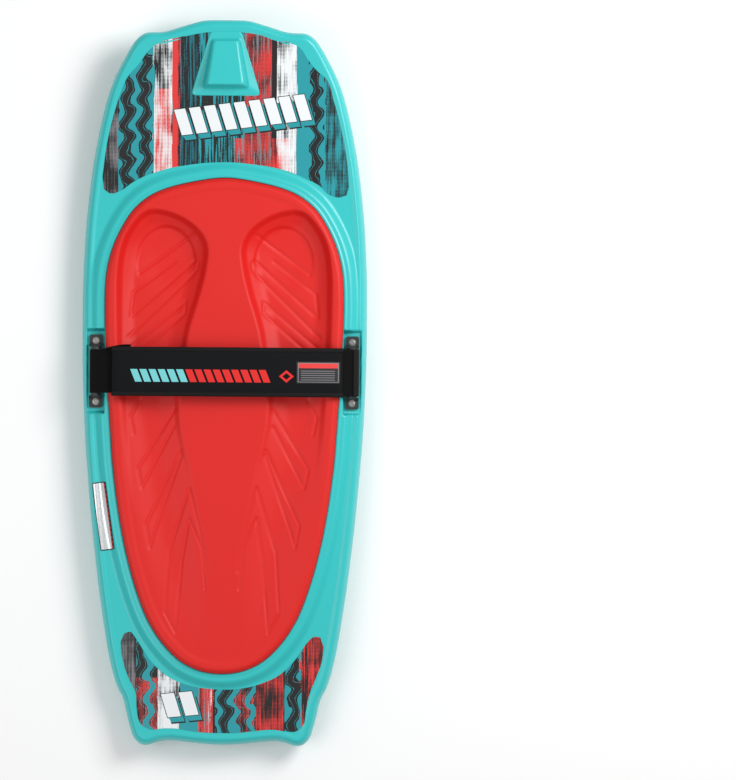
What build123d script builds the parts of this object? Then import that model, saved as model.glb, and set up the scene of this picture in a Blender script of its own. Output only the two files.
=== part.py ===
"""A kneeboard: a foam-filled polyethylene shell with a moulded knee pad and a padded leg strap.

Units are millimetres. X runs across the board, Y runs from the nose (-Y) to the tail (+Y) and Z is up.
The origin is under the middle of the board, on the plane that its flat hull stands on.
"""

import os

from build123d import *

# Board shell
length = 1270.0
width = 500.0
nose_rocker = 72.0  # height of the hull at the nose
tail_rocker = 26.0  # height of the hull at the tail
nose_thickness = 26.0
deck_height = 56.0  # the deck beside the pad, above the flat of the hull
flat_front = 200.0  # the flat of the hull runs from this far ahead of the middle
flat_rear = 300.0  # to this far behind it
nose_hull_slope = 0.36  # rise over run at the two ends of the board
nose_deck_slope = 0.22
tail_hull_slope = 0.17
parting_height = 26.0  # where the deck and hull mouldings meet, above the hull line
nose_parting = 12.0
tail_parting = 5.5
wall = 4.0
deck_edge_radius = 7.0
hull_edge_radius = 8.0

# Hull bottom
chine_half_width = 186.0  # the bottom is flat across to here, then bevels up to the rail
chine_rise = 12.0
fin_spacing = 250.0  # between the straight inner sides of a pair of crescents
fin_length = 250.0
fin_bulge = 22.0
fin_depth = 12.0
fin_tail_gap = 30.0
groove_length = 242.0
groove_bulge = 24.0
groove_depth = 2.4
groove_nose_gap = 58.0

# Knee pad and the collar moulded round it
nose_deck_length = 274.0  # from the nose to the front of the pad
tail_deck_length = 127.0
rail_band = 41.0  # from the pad to the rail where the board is widest
pad_gap = 1.5
pad_floor = 38.0
adhesive = 0.5
pad_rim_height = 76.0
pad_edge_radius = 10.0
collar_height = 66.0
collar_crest = 4.0
collar_slope = 14.0
knee_spacing = 218.0
knee_width = 156.0
knee_length = 226.0
knee_depth = 30.0
knee_front_gap = 57.0  # from the front of the pad to the knee cups
shin_width = 132.0
shin_length = 600.0
shin_depth = 18.0
shin_rear_gap = 50.0
shin_spacing = 196.0
shin_toe_in = 3.5  # the shin troughs close up towards the feet, in degrees

# Hook for the tow-rope handle
hook_nose_gap = 34.0
hook_length = 84.0
hook_front_half = 28.0
hook_rear_half = 41.0
hook_height = 104.0
hook_front_bevel = 12.0
hook_side_bevel = 9.0
hook_undercut = 7.0
hook_root = 70.0  # below the deck all along the hook
hook_plate_front = 28.0  # half width
hook_plate_rear = 61.0
hook_plate_length = 111.0
hook_plate_gap = 21.0  # from the nose
hook_plate_height = 1.5
hook_plate_margin = 1.0  # from the plate to the decal round it

# Film decals and the foil label
film = 0.3
decal_collar_gap = 27.0  # from the pad to a decal, past the collar
decal_rail_gap = 23.0
nose_decal_length = 303.0  # from the nose to the rear tips of the decal
tail_decal_length = 196.0
label_width = 21.0
label_length = 116.0
label_x = 213.0
label_y = 233.0
label_turn = 7.2

# Strap brackets
bracket_y = -21.0
bracket_width = 23.0
bracket_length = 128.0
bracket_foot = 5.0  # thickness of the feet
bracket_gap = 4.0  # from the pad to the bracket
shoulder = 5.5  # run of the ramp from a foot up to the bar
recess_floor = 50.0
recess_side = 2.0
recess_end = 8.0
bar_radius = 8.0
bar_height = 63.5
bar_span = 86.0
screw_spacing = 107.0
screw_radius = 2.5
screw_length = 17.0
screw_hole = 2.8
head_radius = 4.75
head_height = 3.0
socket_radius = 2.0
socket_depth = 1.8
washer_radius = 6.0
washer_thickness = 0.8
counterbore_radius = 6.2
counterbore_depth = 2.0
insert_radius = 4.0
insert_length = 14.0
boss_radius = 8.0
boss_floor = 32.0
thread_clearance = 0.05

# Strap
webbing_width = 76.0
webbing = 2.0
binding_width = 4.0
foam_thickness = 6.0
cover = 1.0
loop_clearance = 0.35
strap_rise = 9.0  # arch of the strap over the pad's rim
strap_clear = 3.0  # from the pad's rim to the underside of the straps
rim_x = 202.0  # the straps cross the pad's rim this far out
tab_overlap = 180.0  # from the left bar to the tip of the anchor tab
strap_end_gap = 33.0  # from the left bar to the end of the padded strap
padding_gap = 23.0  # from the right bar to the start of the padding
fastener = 1.2  # thickness of each half of the hook-and-loop
fastener_width = 70.0
touch_gap = 0.3  # between the two halves of the hook-and-loop
tail_length = 62.0  # each loop's lower layer, sewn back to the upper one
sleeve = 2.0
label_patch_length = 78.0
label_patch_width = 38.0
label_patch = 0.6
label_patch_gap = 3.0

# Plugs that close the holes through which the board is filled with foam
plug_radius = 12.0
plug_depth = 8.0
plug_flange_radius = 16.0
plug_flange = 1.5
plug_spacing = 520.0

half = width / 2
nose_y = -length / 2
tail_y = length / 2
pad_half = half - rail_band
pad_front = nose_y + nose_deck_length
pad_rear = tail_y - tail_deck_length
pad_base = pad_floor + adhesive
bar_x = pad_half + bracket_gap + bracket_width / 2
loop_inner = bar_radius + loop_clearance
loop_outer = loop_inner + webbing
tab_drop = 2 * fastener + touch_gap + webbing  # from the strap's underside to the tab's underside
rim_line = pad_rim_height + strap_clear + tab_drop + webbing
strap_end = bar_x - strap_end_gap
padding_start = padding_gap - bar_x
padding_height = webbing + foam_thickness + cover
sky = 200.0  # higher than anything on the board
overrun = 6.0  # side views run past the nose and the tail by this much

# Half outline of the board, as (share of length from the nose, share of half width)
PLAN = [
    (0.0000, 0.000), (0.0023, 0.165), (0.0092, 0.305), (0.0160, 0.420), (0.0180, 0.530), (0.0260, 0.610),
    (0.0480, 0.700), (0.0800, 0.784), (0.1300, 0.865), (0.2100, 0.940), (0.3000, 0.985), (0.4100, 1.000),
    (0.5200, 0.988), (0.6300, 0.953), (0.7400, 0.893), (0.8500, 0.810), (0.8980, 0.764), (0.9200, 0.715),
    (0.9400, 0.679), (0.9640, 0.652), (0.9850, 0.612), (0.9970, 0.550), (1.0000, 0.480), (0.9970, 0.380),
    (0.9970, 0.200), (0.9990, 0.000),
]
# Half outline of the pad, as (share of its length from the front, share of its half width)
PAD = [
    (0.000, 0.00), (0.021, 0.48), (0.054, 0.74), (0.105, 0.90), (0.172, 0.977), (0.266, 1.00),
    (0.400, 0.979), (0.548, 0.930), (0.690, 0.850), (0.810, 0.737), (0.905, 0.570), (0.968, 0.350),
    (1.000, 0.00),
]


def outline(shares, front, rear, half_width):
    """Draws a closed symmetrical outline in the current line from its half outline."""
    right = [(half_width * across, front + (rear - front) * along) for along, across in shares]
    left = [(-x, y) for x, y in reversed(right[1:-1])]
    Spline(*right, *left, periodic=True)


def board_plan(inset=0.0):
    """The outline of the board as a face, drawn in by a distance."""
    with BuildSketch() as plan:
        with BuildLine():
            outline(PLAN, nose_y + inset, tail_y - inset, half - inset)
        make_face()
    return plan.sketch


def pad_plan(grow=0.0):
    """The outline of the pad as a face, grown by a distance."""
    with BuildSketch() as plan:
        with BuildLine():
            outline(PAD, pad_front - grow, pad_rear + grow, pad_half + grow)
        make_face()
    return plan.sketch


def hull_line(lift):
    """Draws the hull's side view in the current line, raised by a distance, and returns its two ends."""
    tip = (nose_y - overrun, nose_rocker + lift + overrun * nose_hull_slope)
    nose = Spline(tip, (-flat_front, lift), tangents=[(1, -nose_hull_slope), (1, 0)])
    flat = Line(nose @ 1, (flat_rear, lift))
    heel = (tail_y + overrun, tail_rocker + lift + overrun * tail_hull_slope)
    tail = Spline(flat @ 1, heel, tangents=[(1, 0), (1, tail_hull_slope)])
    return nose @ 0, tail @ 1


def deck_line(lift):
    """Draws the deck's side view in the current line, raised by a distance, and returns its two ends."""
    tip = (nose_y - overrun, nose_rocker + nose_thickness + lift + overrun * nose_deck_slope)
    nose = Spline(tip, (-flat_front, deck_height + lift), tangents=[(1, -nose_deck_slope), (1, 0)])
    flat = Line(nose @ 1, (tail_y + overrun, deck_height + lift))
    return nose @ 0, flat @ 1


def side_view(inset):
    """The board's side view as a face, drawn in from the deck and the hull by a distance."""
    with BuildSketch(Plane.YZ) as view:
        with BuildLine():
            low_nose, low_tail = hull_line(inset)
            high_nose, high_tail = deck_line(-inset)
            Line(low_tail, high_tail)
            Line(low_nose, high_nose)
        make_face()
    return view.sketch


def parting_view():
    """The side view of everything below the line where the two mouldings meet."""
    with BuildSketch(Plane.YZ) as view:
        with BuildLine():
            tip = (nose_y - overrun, nose_rocker + nose_parting + overrun * nose_hull_slope)
            nose = Spline(tip, (-flat_front, parting_height), tangents=[(1, -nose_hull_slope), (1, 0)])
            flat = Line(nose @ 1, (flat_rear, parting_height))
            heel = (tail_y + overrun, tail_rocker + tail_parting)
            tail = Spline(flat @ 1, heel, tangents=[(1, 0), (1, 0)])
            Polyline(tail @ 1, (tail_y + overrun, -sky), (nose_y - overrun, -sky), nose @ 0)
        make_face()
    return view.sketch


def blank(inset):
    """The board's plain body, drawn in by a wall thickness on every side."""
    with BuildPart() as body:
        extrude(board_plan(inset), amount=sky)
        extrude(side_view(inset), amount=width, both=True, mode=Mode.INTERSECT)
    return body.part


def below_hull(x, lift):
    """The side view of everything below the hull line, raised by a lift, at a distance across the board."""
    with BuildSketch(Plane.YZ.offset(x)) as view:
        with BuildLine():
            nose, tail = hull_line(lift)
            Polyline(tail, (tail_y + overrun, -sky), (nose_y - overrun, -sky), nose)
        make_face()
    return view.sketch


def rounded_blank():
    """The board's outside, with its hull bevelled beyond the chines and its edges rounded."""
    with BuildPart() as body:
        add(blank(0))
        with BuildPart(mode=Mode.PRIVATE) as bevel:
            loft([below_hull(chine_half_width, 0), below_hull(half + overrun, chine_rise)], ruled=True)
            mirror(about=Plane.YZ)
        add(bevel.part, mode=Mode.SUBTRACT)
        fillet(body.edges().filter_by(is_deck_edge), radius=deck_edge_radius)
        fillet(body.edges().filter_by(is_hull_edge), radius=hull_edge_radius)
    return body.part


def spans_board(edge):
    """Whether an edge runs round the rail and not straight across or along the board."""
    box = edge.bounding_box().size
    return box.X > boss_radius and box.Y > bracket_length


def is_deck_edge(edge):
    """Whether an edge of the plain body is its deck edge."""
    return spans_board(edge) and edge.bounding_box().min.Z > parting_height


def is_hull_edge(edge):
    """Whether an edge of the plain body is its hull edge."""
    box = edge.bounding_box()
    return spans_board(edge) and box.min.Z < parting_height and box.max.Z < nose_rocker + chine_rise


def bracket_places():
    """Where the two strap brackets sit."""
    return Locations((bar_x, bracket_y), (-bar_x, bracket_y))


def recess_block(margin, floor):
    """The two bracket recesses as blocks, grown by a margin and standing on a floor height."""
    with BuildPart() as blocks:
        with BuildSketch(Plane.XY.offset(floor)):
            with bracket_places():
                Rectangle(
                    bracket_width + 2 * (recess_side + margin),
                    bracket_length + 2 * (recess_end + margin),
                )
        extrude(amount=sky)
    return blocks.part


def screw_places():
    """Where the four bracket screws sit."""
    front = bracket_y - screw_spacing / 2
    rear = bracket_y + screw_spacing / 2
    return Locations((bar_x, front), (bar_x, rear), (-bar_x, front), (-bar_x, rear))


def plug_places():
    """Where the two foam-filling plugs sit."""
    return GridLocations(1, plug_spacing, 1, 2)


def post(radius, bottom, height, places):
    """Round posts of one radius, standing at some height at each of the given places."""
    with BuildPart() as posts:
        with BuildSketch(Plane.XY.offset(bottom)):
            with places:
                Circle(radius)
        extrude(amount=height)
    return posts.part


def insert_pockets():
    """The four holes that the screw inserts fill."""
    return post(insert_radius, recess_floor - insert_length, insert_length, screw_places())


def plug_bodies(places):
    """Flanged plugs, flush with the floor under the pad, at each of the given places."""
    with BuildPart() as plugs:
        add(post(plug_radius, pad_floor - plug_depth, plug_depth, places))
        add(post(plug_flange_radius, pad_floor - plug_flange, plug_flange, places))
    return plugs.part


def hollow():
    """The space inside the shell, which the foam fills."""
    with BuildPart() as space:
        add(blank(wall))
        with BuildSketch(Plane.XY.offset(pad_floor - wall)):
            add(pad_plan(pad_gap + wall))
        extrude(amount=sky, mode=Mode.SUBTRACT)
        add(recess_block(wall, recess_floor - wall), mode=Mode.SUBTRACT)
        add(post(boss_radius, boss_floor, sky, screw_places()), mode=Mode.SUBTRACT)
    return space.part


def crescents(end_gap, span, bulge, towards):
    """A pair of crescents beside the centre of the hull, straight inside and curved outside."""
    end = towards * (length / 2 - end_gap)
    other = end - towards * span
    inner = fin_spacing / 2
    with BuildSketch() as pair:
        with BuildLine() as edge:
            ThreePointArc((inner, other), (inner + bulge, (end + other) / 2), (inner, end))
            Line((inner, end), (inner, other))
        make_face()
        mirror(about=Plane.YZ)
    return pair.sketch


def knee_wells():
    """The hollows in the pad: a round cup for each knee and a long trough for each shin behind it."""
    cup_radius = ((knee_width / 2) ** 2 + knee_depth**2) / (2 * knee_depth)
    trough_radius = ((shin_width / 2) ** 2 + shin_depth**2) / (2 * shin_depth)
    cup_y = pad_front + knee_front_gap + knee_length / 2
    trough_y = pad_rear - shin_rear_gap - shin_length / 2
    wells = [
        (knee_spacing / 2, cup_y, cup_radius, knee_depth, knee_length),
        (shin_spacing / 2, trough_y, trough_radius, shin_depth, shin_length),
    ]
    with BuildPart() as pair:
        for x, y, radius, depth, span in wells:
            over = radius - depth
            with BuildPart(mode=Mode.PRIVATE) as spindle:
                with BuildSketch(Plane.YZ):
                    with BuildLine():
                        ThreePointArc((-span / 2, -over), (0, -radius), (span / 2, -over))
                        Polyline((span / 2, -over), (span / 2, 0), (-span / 2, 0), (-span / 2, -over))
                    make_face()
                revolve(axis=Axis.Y)
            with Locations(Location((x, y, pad_rim_height + over), (0, 0, shin_toe_in))):
                add(spindle.part)
        mirror(about=Plane.YZ)
    return pair.part


def strap_curve(lift):
    """Draws the strap's line over the pad in the current line, raised by a lift."""
    rest = rim_line + lift
    low = bar_height + loop_inner + lift
    return Spline(
        (-bar_x, low),
        (-rim_x, rest - strap_rise / 2),
        (-rim_x / 2, rest + 3 * strap_rise / 4),
        (0, rest + strap_rise),
        (rim_x / 2, rest + 3 * strap_rise / 4),
        (rim_x, rest),
        (bar_x, low + tab_drop),
        tangents=[(1, 0), (1, 0)],
    )


def strap_layer(low, high, start, end):
    """One layer of the strap seen from the side, between two lifts and two distances across the board."""
    with BuildSketch(Plane.XZ) as layer:
        with BuildLine():
            under = strap_curve(low)
            over = strap_curve(high)
            Line(under @ 0, over @ 0)
            Line(under @ 1, over @ 1)
        make_face()
        with Locations(((start + end) / 2, bar_height)):
            Rectangle(end - start, sky, mode=Mode.INTERSECT)
    return layer.sketch


def across(layer, span, offset_y=0.0):
    """A side view given a width along the board, centred on the brackets."""
    with BuildPart() as body:
        with Locations((0, bracket_y + offset_y, 0)):
            add(extrude(layer, amount=span / 2, both=True, mode=Mode.PRIVATE))
    return body.part


def round_bar(x, radius, span):
    """A round bar on the axis of one of the brackets' bars, centred on the brackets."""
    with BuildPart() as rod:
        with BuildSketch(Plane.XZ.offset(-bracket_y)):
            with Locations((x, bar_height)):
                Circle(radius)
        extrude(amount=span / 2, both=True)
    return rod.part


def save(body, label):
    """Names a finished piece and writes it out."""
    body.label = label
    export_step(body, f"parts/{label}.step")


def make_shell():
    """The deck and hull mouldings and the foam between them."""
    space = hollow()
    with BuildPart() as outside:
        add(rounded_blank())
        with BuildSketch(Plane.XY.offset(parting_height)):
            add(pad_plan(pad_gap + collar_crest + collar_slope))
        with BuildSketch(Plane.XY.offset(deck_height)):
            add(pad_plan(pad_gap + collar_crest + collar_slope))
        with BuildSketch(Plane.XY.offset(collar_height)):
            add(pad_plan(pad_gap + collar_crest))
        loft(ruled=True)
        with BuildSketch(Plane.XY.offset(pad_floor)):
            add(pad_plan(pad_gap))
        extrude(amount=sky, mode=Mode.SUBTRACT)
        add(recess_block(0, recess_floor), mode=Mode.SUBTRACT)

    with BuildPart() as deck_shell:
        add(outside.part)
        extrude(parting_view(), amount=width, both=True, mode=Mode.SUBTRACT)
        add(space, mode=Mode.SUBTRACT)
        add(insert_pockets(), mode=Mode.SUBTRACT)
        add(plug_bodies(plug_places()), mode=Mode.SUBTRACT)
    save(deck_shell.part, "deck_shell")

    with BuildPart() as fins:
        with BuildSketch():
            add(crescents(fin_tail_gap, fin_length, fin_bulge, 1))
        extrude(amount=tail_rocker + wall)
        extrude(side_view(-fin_depth), amount=width, both=True, mode=Mode.INTERSECT)

    with BuildPart() as grooves:
        with BuildSketch():
            add(crescents(groove_nose_gap, groove_length, groove_bulge, -1))
        extrude(amount=sky)
        extrude(side_view(groove_depth), amount=width, both=True, mode=Mode.SUBTRACT)

    with BuildPart() as hull_shell:
        add(outside.part)
        extrude(parting_view(), amount=width, both=True, mode=Mode.INTERSECT)
        add(fins.part)
        add(grooves.part, mode=Mode.SUBTRACT)
        add(space, mode=Mode.SUBTRACT)
    save(hull_shell.part, "hull_shell")

    with BuildPart() as foam_core:
        add(space)
        add(post(plug_radius, pad_floor - plug_depth, plug_depth, plug_places()), mode=Mode.SUBTRACT)
        add(insert_pockets(), mode=Mode.SUBTRACT)
    save(foam_core.part, "foam_core")


def make_pad():
    """The knee pad and the layer of adhesive under it."""
    with BuildPart() as pad_adhesive:
        with BuildSketch(Plane.XY.offset(pad_floor)):
            add(pad_plan())
        extrude(amount=adhesive)
    save(pad_adhesive.part, "pad_adhesive")

    with BuildPart() as knee_pad:
        with BuildSketch(Plane.XY.offset(pad_base)):
            add(pad_plan())
        extrude(amount=pad_rim_height - pad_base)
        fillet(knee_pad.faces().sort_by(Axis.Z)[-1].edges(), radius=pad_edge_radius)
        add(knee_wells(), mode=Mode.SUBTRACT)
    save(knee_pad.part, "knee_pad")


def hook_plate(grow):
    """The hook's plate seen from above, grown by a distance."""
    front = nose_y + hook_plate_gap - grow
    rear = nose_y + hook_plate_gap + hook_plate_length + grow
    with BuildSketch() as plate:
        with BuildLine():
            Polyline(
                (-hook_plate_front - grow, front),
                (hook_plate_front + grow, front),
                (hook_plate_rear + grow, rear),
                (-hook_plate_rear - grow, rear),
                close=True,
            )
        make_face()
    return plate.sketch


def film_on_deck(region, thickness):
    """A layer of some thickness laid on the deck over a region seen from above."""
    with BuildPart() as decal:
        extrude(region, amount=sky)
        with BuildSketch(Plane.YZ) as band:
            with BuildLine():
                low_nose, low_tail = deck_line(0)
                high_nose, high_tail = deck_line(thickness)
                Line(low_tail, high_tail)
                Line(low_nose, high_nose)
            make_face()
        extrude(band.sketch, amount=width, both=True, mode=Mode.INTERSECT)
    return decal.part


def make_hook():
    """The hook for the tow-rope handle: an undercut block on a low plate that is welded to the deck."""
    with BuildPart() as hook:
        rear = nose_y + hook_nose_gap + hook_length
        front = nose_y + hook_nose_gap
        with BuildSketch(Plane.YZ):
            with BuildLine():
                Polyline(
                    (front, hook_root),
                    (front, hook_height - hook_front_bevel),
                    (front + hook_front_bevel, hook_height),
                    (rear, hook_height),
                    (rear - hook_undercut, deck_height + hook_front_bevel),
                    (rear - hook_undercut, hook_root),
                    close=True,
                )
            make_face()
        extrude(amount=hook_rear_half, both=True)
        with BuildSketch(Plane.XY.offset(hook_root)):
            with BuildLine():
                Polyline(
                    (-hook_front_half, front),
                    (hook_front_half, front),
                    (hook_rear_half, rear),
                    (-hook_rear_half, rear),
                    close=True,
                )
            make_face()
        extrude(amount=sky, mode=Mode.INTERSECT)
        crest = hook.faces().sort_by(Axis.Z)[-1]
        sides = crest.edges().filter_by(lambda edge: edge.bounding_box().size.Y > hook_length / 2)
        chamfer(sides, hook_side_bevel)
        extrude(side_view(0), amount=width, both=True, mode=Mode.SUBTRACT)
        add(film_on_deck(hook_plate(0), hook_plate_height))
    save(hook.part, "tow_hook")


def make_decals():
    """The two deck decals and the foil label on the rail."""
    with BuildSketch() as nose_region:
        add(board_plan(decal_rail_gap))
        with Locations((0, nose_y + nose_decal_length)):
            Rectangle(width, length, align=(Align.CENTER, Align.MIN), mode=Mode.SUBTRACT)
        add(pad_plan(decal_collar_gap), mode=Mode.SUBTRACT)
        add(hook_plate(hook_plate_margin), mode=Mode.SUBTRACT)
    save(film_on_deck(nose_region.sketch, film), "nose_decal")

    with BuildSketch() as tail_region:
        add(board_plan(decal_rail_gap))
        with Locations((0, tail_y - tail_decal_length)):
            Rectangle(width, length, align=(Align.CENTER, Align.MAX), mode=Mode.SUBTRACT)
        add(pad_plan(decal_collar_gap), mode=Mode.SUBTRACT)
    save(film_on_deck(tail_region.sketch, film), "tail_decal")

    with BuildPart() as rail_label:
        with BuildSketch(Plane.XY.offset(deck_height)):
            with Locations((label_x, label_y)):
                RectangleRounded(label_width, label_length, screw_radius, rotation=label_turn)
        extrude(amount=film)
    save(rail_label.part, "rail_label")


def make_brackets():
    """The strap brackets with their bars, and the screws, washers and inserts that hold them."""
    step = screw_spacing / 2
    end = bracket_length / 2
    ramp = bar_span / 2 + shoulder
    for side, label in ((1, "left"), (-1, "right")):
        with BuildPart() as bracket:
            with BuildSketch(Plane.YZ.offset(side * bar_x)):
                with BuildLine():
                    Polyline(
                        (bracket_y + bar_span / 2, recess_floor),
                        (bracket_y + bar_span / 2, bar_height + bar_radius),
                        (bracket_y + ramp, recess_floor + bracket_foot),
                        (bracket_y + end, recess_floor + bracket_foot),
                        (bracket_y + end, recess_floor),
                        close=True,
                    )
                make_face()
            extrude(amount=bracket_width / 2, both=True)
            mirror(about=Plane.XZ.offset(-bracket_y))
            fillet(bracket.edges().filter_by(Axis.Z).sort_by(Axis.Y)[:2], radius=bracket_gap)
            fillet(bracket.edges().filter_by(Axis.Z).sort_by(Axis.Y)[-2:], radius=bracket_gap)
            add(round_bar(side * bar_x, bar_radius, bar_span))
            foot_top = recess_floor + bracket_foot
            add(post(screw_hole, recess_floor, bracket_foot, screw_places()), mode=Mode.SUBTRACT)
            add(
                post(counterbore_radius, foot_top - counterbore_depth, sky, screw_places()),
                mode=Mode.SUBTRACT,
            )
        save(bracket.part, f"{label}_bracket")

        for place, y in (("front", bracket_y - step), ("rear", bracket_y + step)):
            at = Locations((side * bar_x, y))
            seat = recess_floor + bracket_foot - counterbore_depth
            name = f"{label}_{place}"
            with BuildPart() as washer:
                add(post(washer_radius, seat, washer_thickness, at))
                add(post(screw_radius + thread_clearance, seat, washer_thickness, at), mode=Mode.SUBTRACT)
            save(washer.part, f"{name}_washer")

            under_head = seat + washer_thickness
            with BuildPart() as screw:
                add(post(screw_radius, under_head - screw_length, screw_length, at))
                add(post(head_radius, under_head, head_height, at))
                fillet(screw.faces().sort_by(Axis.Z)[-1].edges(), radius=head_height / 3)
                with BuildSketch(Plane.XY.offset(under_head + head_height)):
                    with at:
                        RegularPolygon(socket_radius, 6)
                extrude(amount=-socket_depth, mode=Mode.SUBTRACT)
            save(screw.part, f"{name}_screw")

            with BuildPart() as insert:
                add(post(insert_radius, recess_floor - insert_length, insert_length, at))
                add(
                    post(screw_radius + thread_clearance, recess_floor - insert_length, insert_length, at),
                    mode=Mode.SUBTRACT,
                )
            save(insert.part, f"{name}_insert")


def make_plugs():
    """The plugs under the pad that close the holes through which the board is filled with foam."""
    for label, y in (("fill", -plug_spacing / 2), ("vent", plug_spacing / 2)):
        save(plug_bodies(Locations((0, y))), f"{label}_plug")


def make_strap():
    """The padded strap on the right bar and everything sewn to it."""
    with BuildPart() as strap_webbing:
        add(round_bar(-bar_x, loop_outer, webbing_width))
        add(across(strap_layer(0, webbing, -bar_x, strap_end), webbing_width))
        add(across(strap_layer(-webbing, 0, -bar_x, tail_length - bar_x), webbing_width))
        add(round_bar(-bar_x, loop_inner, webbing_width), mode=Mode.SUBTRACT)
    save(strap_webbing.part, "strap_webbing")

    with BuildPart() as bar_sleeve:
        add(round_bar(-bar_x, loop_outer + sleeve, webbing_width))
        add(round_bar(-bar_x, loop_outer, webbing_width), mode=Mode.SUBTRACT)
        lead = strap_layer(-webbing - sleeve, webbing + sleeve, -bar_x, 0)
        add(across(lead, webbing_width), mode=Mode.SUBTRACT)
    save(bar_sleeve.part, "bar_sleeve")

    padding = strap_layer(webbing, webbing + foam_thickness, padding_start + cover, strap_end - cover)
    save(across(padding, webbing_width), "strap_foam")

    with BuildPart() as strap_cover:
        add(across(strap_layer(webbing, padding_height, padding_start, strap_end), webbing_width))
        add(across(padding, webbing_width), mode=Mode.SUBTRACT)
    save(strap_cover.part, "strap_cover")

    edge = strap_layer(0, padding_height, padding_start, strap_end)
    shift = (webbing_width + binding_width) / 2
    save(across(edge, binding_width, -shift), "front_binding")
    save(across(edge, binding_width, shift), "rear_binding")

    tab_tip = bar_x - tab_overlap
    save(across(strap_layer(-fastener, 0, tab_tip, strap_end), fastener_width), "loop_fastener")
    patch_start = padding_start + label_patch_gap
    patch_end = patch_start + label_patch_length
    patch = strap_layer(padding_height, padding_height + label_patch, patch_start, patch_end)
    save(across(patch, label_patch_width), "strap_label")


def make_tab():
    """The anchor tab on the left bar, with the hook half of the hook-and-loop sewn on top."""
    tab_tip = bar_x - tab_overlap
    top = webbing - tab_drop
    with BuildPart() as anchor_tab:
        add(round_bar(bar_x, loop_outer, webbing_width))
        add(across(strap_layer(-tab_drop, top, tab_tip, bar_x), webbing_width))
        add(across(strap_layer(-tab_drop - webbing, -tab_drop, bar_x - tail_length, bar_x), webbing_width))
        add(round_bar(bar_x, loop_inner, webbing_width), mode=Mode.SUBTRACT)
    save(anchor_tab.part, "anchor_tab")
    save(across(strap_layer(top, top + fastener, tab_tip, strap_end), fastener_width), "hook_fastener")


if __name__ == "__main__":
    os.makedirs("parts", exist_ok=True)
    make_shell()
    make_pad()
    make_hook()
    make_decals()
    make_brackets()
    make_plugs()
    make_strap()
    make_tab()
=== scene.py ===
"""The looks of a kneeboard: a moulded shell, a knee pad, printed films and a padded leg strap.

Metres, +Z up out of the deck, the nose at -Y, and the hull standing on Z = 0.
"""

import logging
import math
from dataclasses import dataclass
from enum import Enum
from typing import Callable, Sequence

import bpy
import numpy as np
from mathutils import Matrix, Vector


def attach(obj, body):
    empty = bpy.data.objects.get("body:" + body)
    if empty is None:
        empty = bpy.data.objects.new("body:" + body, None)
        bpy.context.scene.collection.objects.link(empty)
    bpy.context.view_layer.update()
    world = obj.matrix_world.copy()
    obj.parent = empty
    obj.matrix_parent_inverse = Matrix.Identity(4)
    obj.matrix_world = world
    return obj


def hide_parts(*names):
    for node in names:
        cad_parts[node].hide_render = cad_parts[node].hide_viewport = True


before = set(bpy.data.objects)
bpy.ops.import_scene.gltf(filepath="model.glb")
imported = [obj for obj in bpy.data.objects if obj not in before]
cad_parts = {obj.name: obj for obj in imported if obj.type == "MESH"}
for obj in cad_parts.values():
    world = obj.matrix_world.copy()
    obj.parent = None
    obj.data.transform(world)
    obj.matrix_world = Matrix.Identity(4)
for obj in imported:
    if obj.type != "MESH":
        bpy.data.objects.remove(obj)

log = logging.getLogger("kneeboard")
MM = 0.001
WELD = 2 * MM * MM  # points of a mesh within this of each other become one
BATCH = 16384  # positions measured at a time
Grid = np.ndarray
Pairs = Sequence[tuple[float, float]]


# --------------------------------------------------------------------------- curves and grids


def ease(value: Grid, low: float, high: float) -> Grid:
    """Rises smoothly from 0 at low to 1 at high.

    Args:
        value: the numbers to ease.
        low: where the rise starts.
        high: where it ends; below low, the result falls instead.

    Returns:
        The cubic 3t^2 - 2t^3 of t, which is how far each value is from low to high.
    """
    t = np.clip((value - low) / (high - low), 0.0, 1.0)
    return t * t * (3.0 - 2.0 * t)


def cubic(start: Grid, end: Grid, leaving: Grid, arriving: Grid, step: Grid, t: Grid) -> Grid:
    """A cubic between two values with a given slope at each.

    Args:
        start: the values at t = 0.
        end: the values at t = 1.
        leaving: the slopes at the start.
        arriving: the slopes at the end.
        step: the distance that t goes over.
        t: how far along the step, 0 to 1.

    Returns:
        The values at t.
    """
    return (
        start * (1 + 2 * t) * (1 - t) ** 2
        + end * t * t * (3 - 2 * t)
        + step * leaving * t * (1 - t) ** 2
        + step * arriving * t * t * (t - 1)
    )


def through(at: Grid, knots: Pairs) -> Grid:
    """A smooth curve through points, evaluated at some positions.

    Args:
        at: the positions.
        knots: (position, value) pairs in rising order.

    Returns:
        The piecewise cubic that never overshoots: its slope at a knot is the harmonic mean of the slopes beside
        it, or 0 at a peak.
    """
    x, y = np.array(knots, float).T
    step = np.diff(x)
    rise = np.diff(y) / step
    before, after = rise[:-1], rise[1:]
    same = before * after > 0
    slope = np.zeros_like(y)
    slope[1:-1] = np.where(same, 2.0 * before * after / np.where(same, before + after, 1.0), 0.0)
    slope[0], slope[-1] = rise[0], rise[-1]
    at = np.clip(at, x[0], x[-1])
    i = np.clip(np.searchsorted(x, at) - 1, 0, len(step) - 1)
    return cubic(y[i], y[i + 1], slope[i], slope[i + 1], step[i], (at - x[i]) / step[i])


def ellipse_drop(distance: Grid, radius: float) -> Grid:
    """How far a rounded edge has fallen, as a share of its height.

    Args:
        distance: distance in from the edge.
        radius: how far in the rounding reaches.

    Returns:
        1 at the edge, 0 beyond the radius, and a quarter ellipse between.
    """
    q = np.clip(1.0 - distance / radius, 0.0, 1.0)
    return 1.0 - np.sqrt(1.0 - q * q)


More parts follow.
